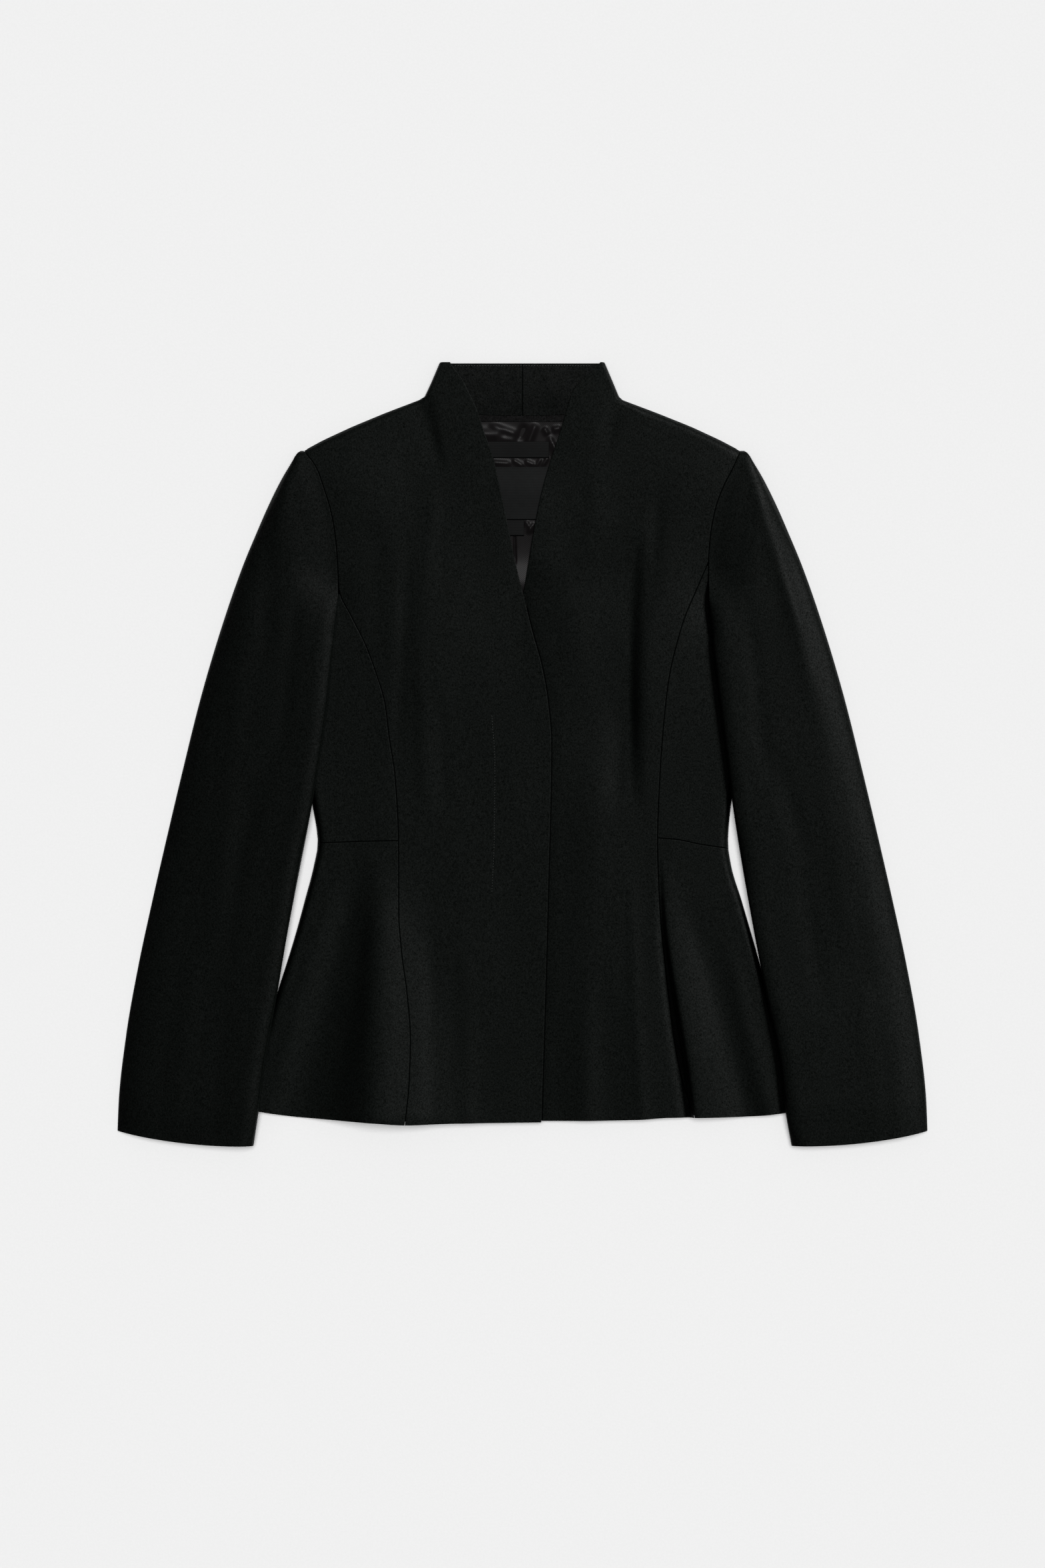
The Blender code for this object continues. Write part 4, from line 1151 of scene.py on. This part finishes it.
def make_stage():
    """Pale floor lit from above, light on the cloth from the upper right, a dimmer one on the far sleeve, one
    that looks into the neck, fill from all round, and the camera above.
    """
    scene = bpy.context.scene
    colours = scene.jacket_colours
    mesh = bpy.data.meshes.new("table_floor")
    corners = [(FLOOR_HALF * x, FLOOR_HALF * y, FLOOR_DROP) for x, y in ((-1, -1), (1, -1), (1, 1), (-1, 1))]
    mesh.from_pydata(corners, [], [(0, 1, 2, 3)])
    mesh.materials.append(finish_of("floor"))
    floor = bpy.data.objects.new("table_floor", mesh)
    scene.collection.objects.link(floor)
    names = ("cloth_only", "neck_only", "far_sleeve_only", "floor_only")
    cloth, inside, far_sleeve, ground = (bpy.data.collections.new(name) for name in names)
    for item in scene.objects:
        if item == floor:
            ground.objects.link(item)
        elif item.name.startswith(("collar_", "neck_", "back_lining", "label_")):
            inside.objects.link(item)
        elif item.name.startswith("sleeve_") and "right" in item.name:
            far_sleeve.objects.link(item)
        elif item.type == "MESH":
            cloth.objects.link(item)
    for name, source, angle, strength, lit in (
        ("floor_light", (0.02, 0.14, 1.3), 38, colours.floor_level, ground),
        ("window_light", WINDOW, 16, colours.key_level, cloth),
        ("far_window_light", WINDOW, 16, FAR_SHARE * colours.key_level, far_sleeve),
        ("neck_light", (0.15, 0.55, 1.3), 10, colours.neck_level, inside),
    ):
        light = bpy.data.lights.new(name, "SUN")
        light.angle = np.radians(angle)
        light.energy = strength
        lamp = bpy.data.objects.new(name, light)
        lamp.location = source
        lamp.rotation_euler = Vector(source).to_track_quat("Z", "Y").to_euler()
        lamp.light_linking.receiver_collection = lit
        scene.collection.objects.link(lamp)
    world = bpy.data.worlds.new("soft_room")
    world.use_nodes = True
    sky = world.node_tree.nodes["Background"]
    sky.inputs["Color"].default_value = (1, 1, 1, 1)
    sky.inputs["Strength"].default_value = colours.room_level
    scene.world = world
    camera = bpy.data.cameras.new("overhead_camera")
    camera.sensor_fit = "VERTICAL"
    camera.sensor_height = LENS * VIEW_TALL / CAMERA_HEIGHT
    camera.lens = LENS
    holder = bpy.data.objects.new("overhead_camera", camera)
    holder.location = (0, VIEW_CENTRE_Y, CAMERA_HEIGHT)
    scene.collection.objects.link(holder)
    scene.camera = holder
    scene.view_settings.view_transform = "Standard"
    scene.view_settings.look = "None"


class JacketColours(bpy.types.PropertyGroup):
    """Colours and light levels that a user would change."""

    wool_dark: FloatVectorProperty(name="Wool ground", description="Darkest tone of the wool",
        subtype="COLOR", default=srgb("#020302"))
    wool_light: FloatVectorProperty(name="Wool fibres", description="Lighter fibres of the wool",
        subtype="COLOR", default=srgb("#0d110f"))
    satin_dark: FloatVectorProperty(name="Satin shade", description="Shaded satin",
        subtype="COLOR", default=srgb("#0f0e0e"))
    satin_light: FloatVectorProperty(name="Satin light", description="Lit satin",
        subtype="COLOR", default=srgb("#1f1c1d"))
    tape_dark: FloatVectorProperty(name="Tape shade", description="Dark threads of the tape",
        subtype="COLOR", default=srgb("#060606"))
    tape_light: FloatVectorProperty(name="Tape light", description="Light threads of the tape",
        subtype="COLOR", default=srgb("#131212"))
    thread: FloatVectorProperty(name="Thread", description="Sewing thread",
        subtype="COLOR", default=srgb("#343735"))
    floor: FloatVectorProperty(name="Floor", description="Pale paper under the jacket",
        subtype="COLOR", default=srgb("#f4f4f4"))
    floor_level: FloatProperty(name="Floor light", description="Light that falls on the floor alone",
        min=0.0, default=2.65)
    key_level: FloatProperty(name="Key light", description="Light from the upper right on the cloth",
        min=0.0, default=4.45)
    neck_level: FloatProperty(name="Neck light", description="Light from above on the inside of the neck",
        min=0.0, default=1.5)
    room_level: FloatProperty(name="Room light", description="Strength of the light from all round",
        min=0.0, default=0.13)


class JacketSizes(bpy.types.PropertyGroup):
    """Sizes of the stitches that a user would change."""

    stitch_length: FloatProperty(name="Stitch length", description="Length of each stitch",
        unit="LENGTH", precision=5, min=0.0001, default=0.0011)
    stitch_pitch: FloatProperty(name="Stitch pitch", description="Distance from one stitch to the next",
        unit="LENGTH", precision=5, min=0.0001, default=0.0024)
    thread_radius: FloatProperty(name="Thread radius", description="Radius of the sewing thread",
        unit="LENGTH", precision=5, min=0.0001, default=0.00016)


class JACKET_OT_backs(bpy.types.Operator):
    """Backs and the outer back collar, flat on the table"""

    bl_idname = "jacket.backs"
    bl_label = "Backs and collar stand"

    def execute(self, context):
        for half in HALVES:
            make_back(half)
            make_collar_half(half, "collar_back", 0, BACK_WALL, 0.0, 0)
        return {"FINISHED"}


class JACKET_OT_neck(bpy.types.Operator):
    """Collar facing, tape, satin lining and labels that show inside the neck"""

    bl_idname = "jacket.neck"
    bl_label = "Inside of the neck"

    def execute(self, context):
        for half in HALVES:
            make_collar_half(half, "collar_facing", FOLD_EDGE, FACING_WALL, 2.8, 1.2)
        band_low = NECK_SEAM - 5.4
        make_lining("neck_tape", "neck_band", NECK_SEAM - SEAM, band_low, "tape",
                    lambda m: neck_curve(m) - SEAM, False)
        make_lining("back_lining_satin", "lining_back", band_low - SEAM, LINING_END, "satin")
        for label in LABELS:
            make_label(label)
        return {"FINISHED"}


class JACKET_OT_fronts(bpy.types.Operator):
    """Centre fronts with the grown-on neck; the wearer's right one lies on top"""

    bl_idname = "jacket.fronts"
    bl_label = "Fronts"

    def execute(self, context):
        for half in HALVES:
            make_front(half)
        return {"FINISHED"}


class JACKET_OT_sides(bpy.types.Operator):
    """Side fronts above the waist and flared peplums below it"""

    bl_idname = "jacket.sides"
    bl_label = "Side fronts and peplums"

    def execute(self, context):
        for half in HALVES:
            make_side_front(half)
            make_peplum(half)
        return {"FINISHED"}


class JACKET_OT_sleeves(bpy.types.Operator):
    """Two-piece sleeves"""

    bl_idname = "jacket.sleeves"
    bl_label = "Sleeves"

    def execute(self, context):
        for half in HALVES:
            make_sleeve_under(half)
            make_sleeve_upper(half)
        return {"FINISHED"}


class JACKET_OT_stitches(bpy.types.Operator):
    """Stitches of the fly, the collar edge and the labels"""

    bl_idname = "jacket.stitches"
    bl_label = "Stitches"

    def execute(self, context):
        make_stitches()
        return {"FINISHED"}


class JACKET_OT_stage(bpy.types.Operator):
    """Floor, lights and camera"""

    bl_idname = "jacket.stage"
    bl_label = "Stage"

    def execute(self, context):
        make_stage()
        return {"FINISHED"}


OPERATORS = (JACKET_OT_backs, JACKET_OT_neck, JACKET_OT_sides, JACKET_OT_fronts, JACKET_OT_sleeves,
             JACKET_OT_stitches, JACKET_OT_stage)


class JACKET_PT_panel(bpy.types.Panel):
    """Lists the jacket's steps, sizes and colours"""

    bl_idname = "JACKET_PT_panel"
    bl_label = "Peplum jacket"
    bl_space_type = "VIEW_3D"
    bl_region_type = "UI"
    bl_category = "Jacket"

    def draw(self, context):
        for operator in OPERATORS:
            self.layout.operator(operator.bl_idname)
        scene = context.scene
        for group, kind in ((scene.jacket_sizes, JacketSizes), (scene.jacket_colours, JacketColours)):
            for key in kind.__annotations__:
                self.layout.prop(group, key)


CLASSES = (JacketSizes, JacketColours, *OPERATORS, JACKET_PT_panel)


def register():
    """Register the classes and hang the sizes and colours on the scene."""
    for item in CLASSES:
        bpy.utils.register_class(item)
    bpy.types.Scene.jacket_sizes = PointerProperty(type=JacketSizes)
    bpy.types.Scene.jacket_colours = PointerProperty(type=JacketColours)


def unregister():
    """Take the classes, the sizes and the colours away again."""
    del bpy.types.Scene.jacket_colours
    del bpy.types.Scene.jacket_sizes
    for item in reversed(CLASSES):
        bpy.utils.unregister_class(item)


def main():
    """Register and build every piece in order."""
    register()
    for operator in OPERATORS:
        group, name = operator.bl_idname.split(".")
        getattr(getattr(bpy.ops, group), name)()


if __name__ == "__main__":
    main()
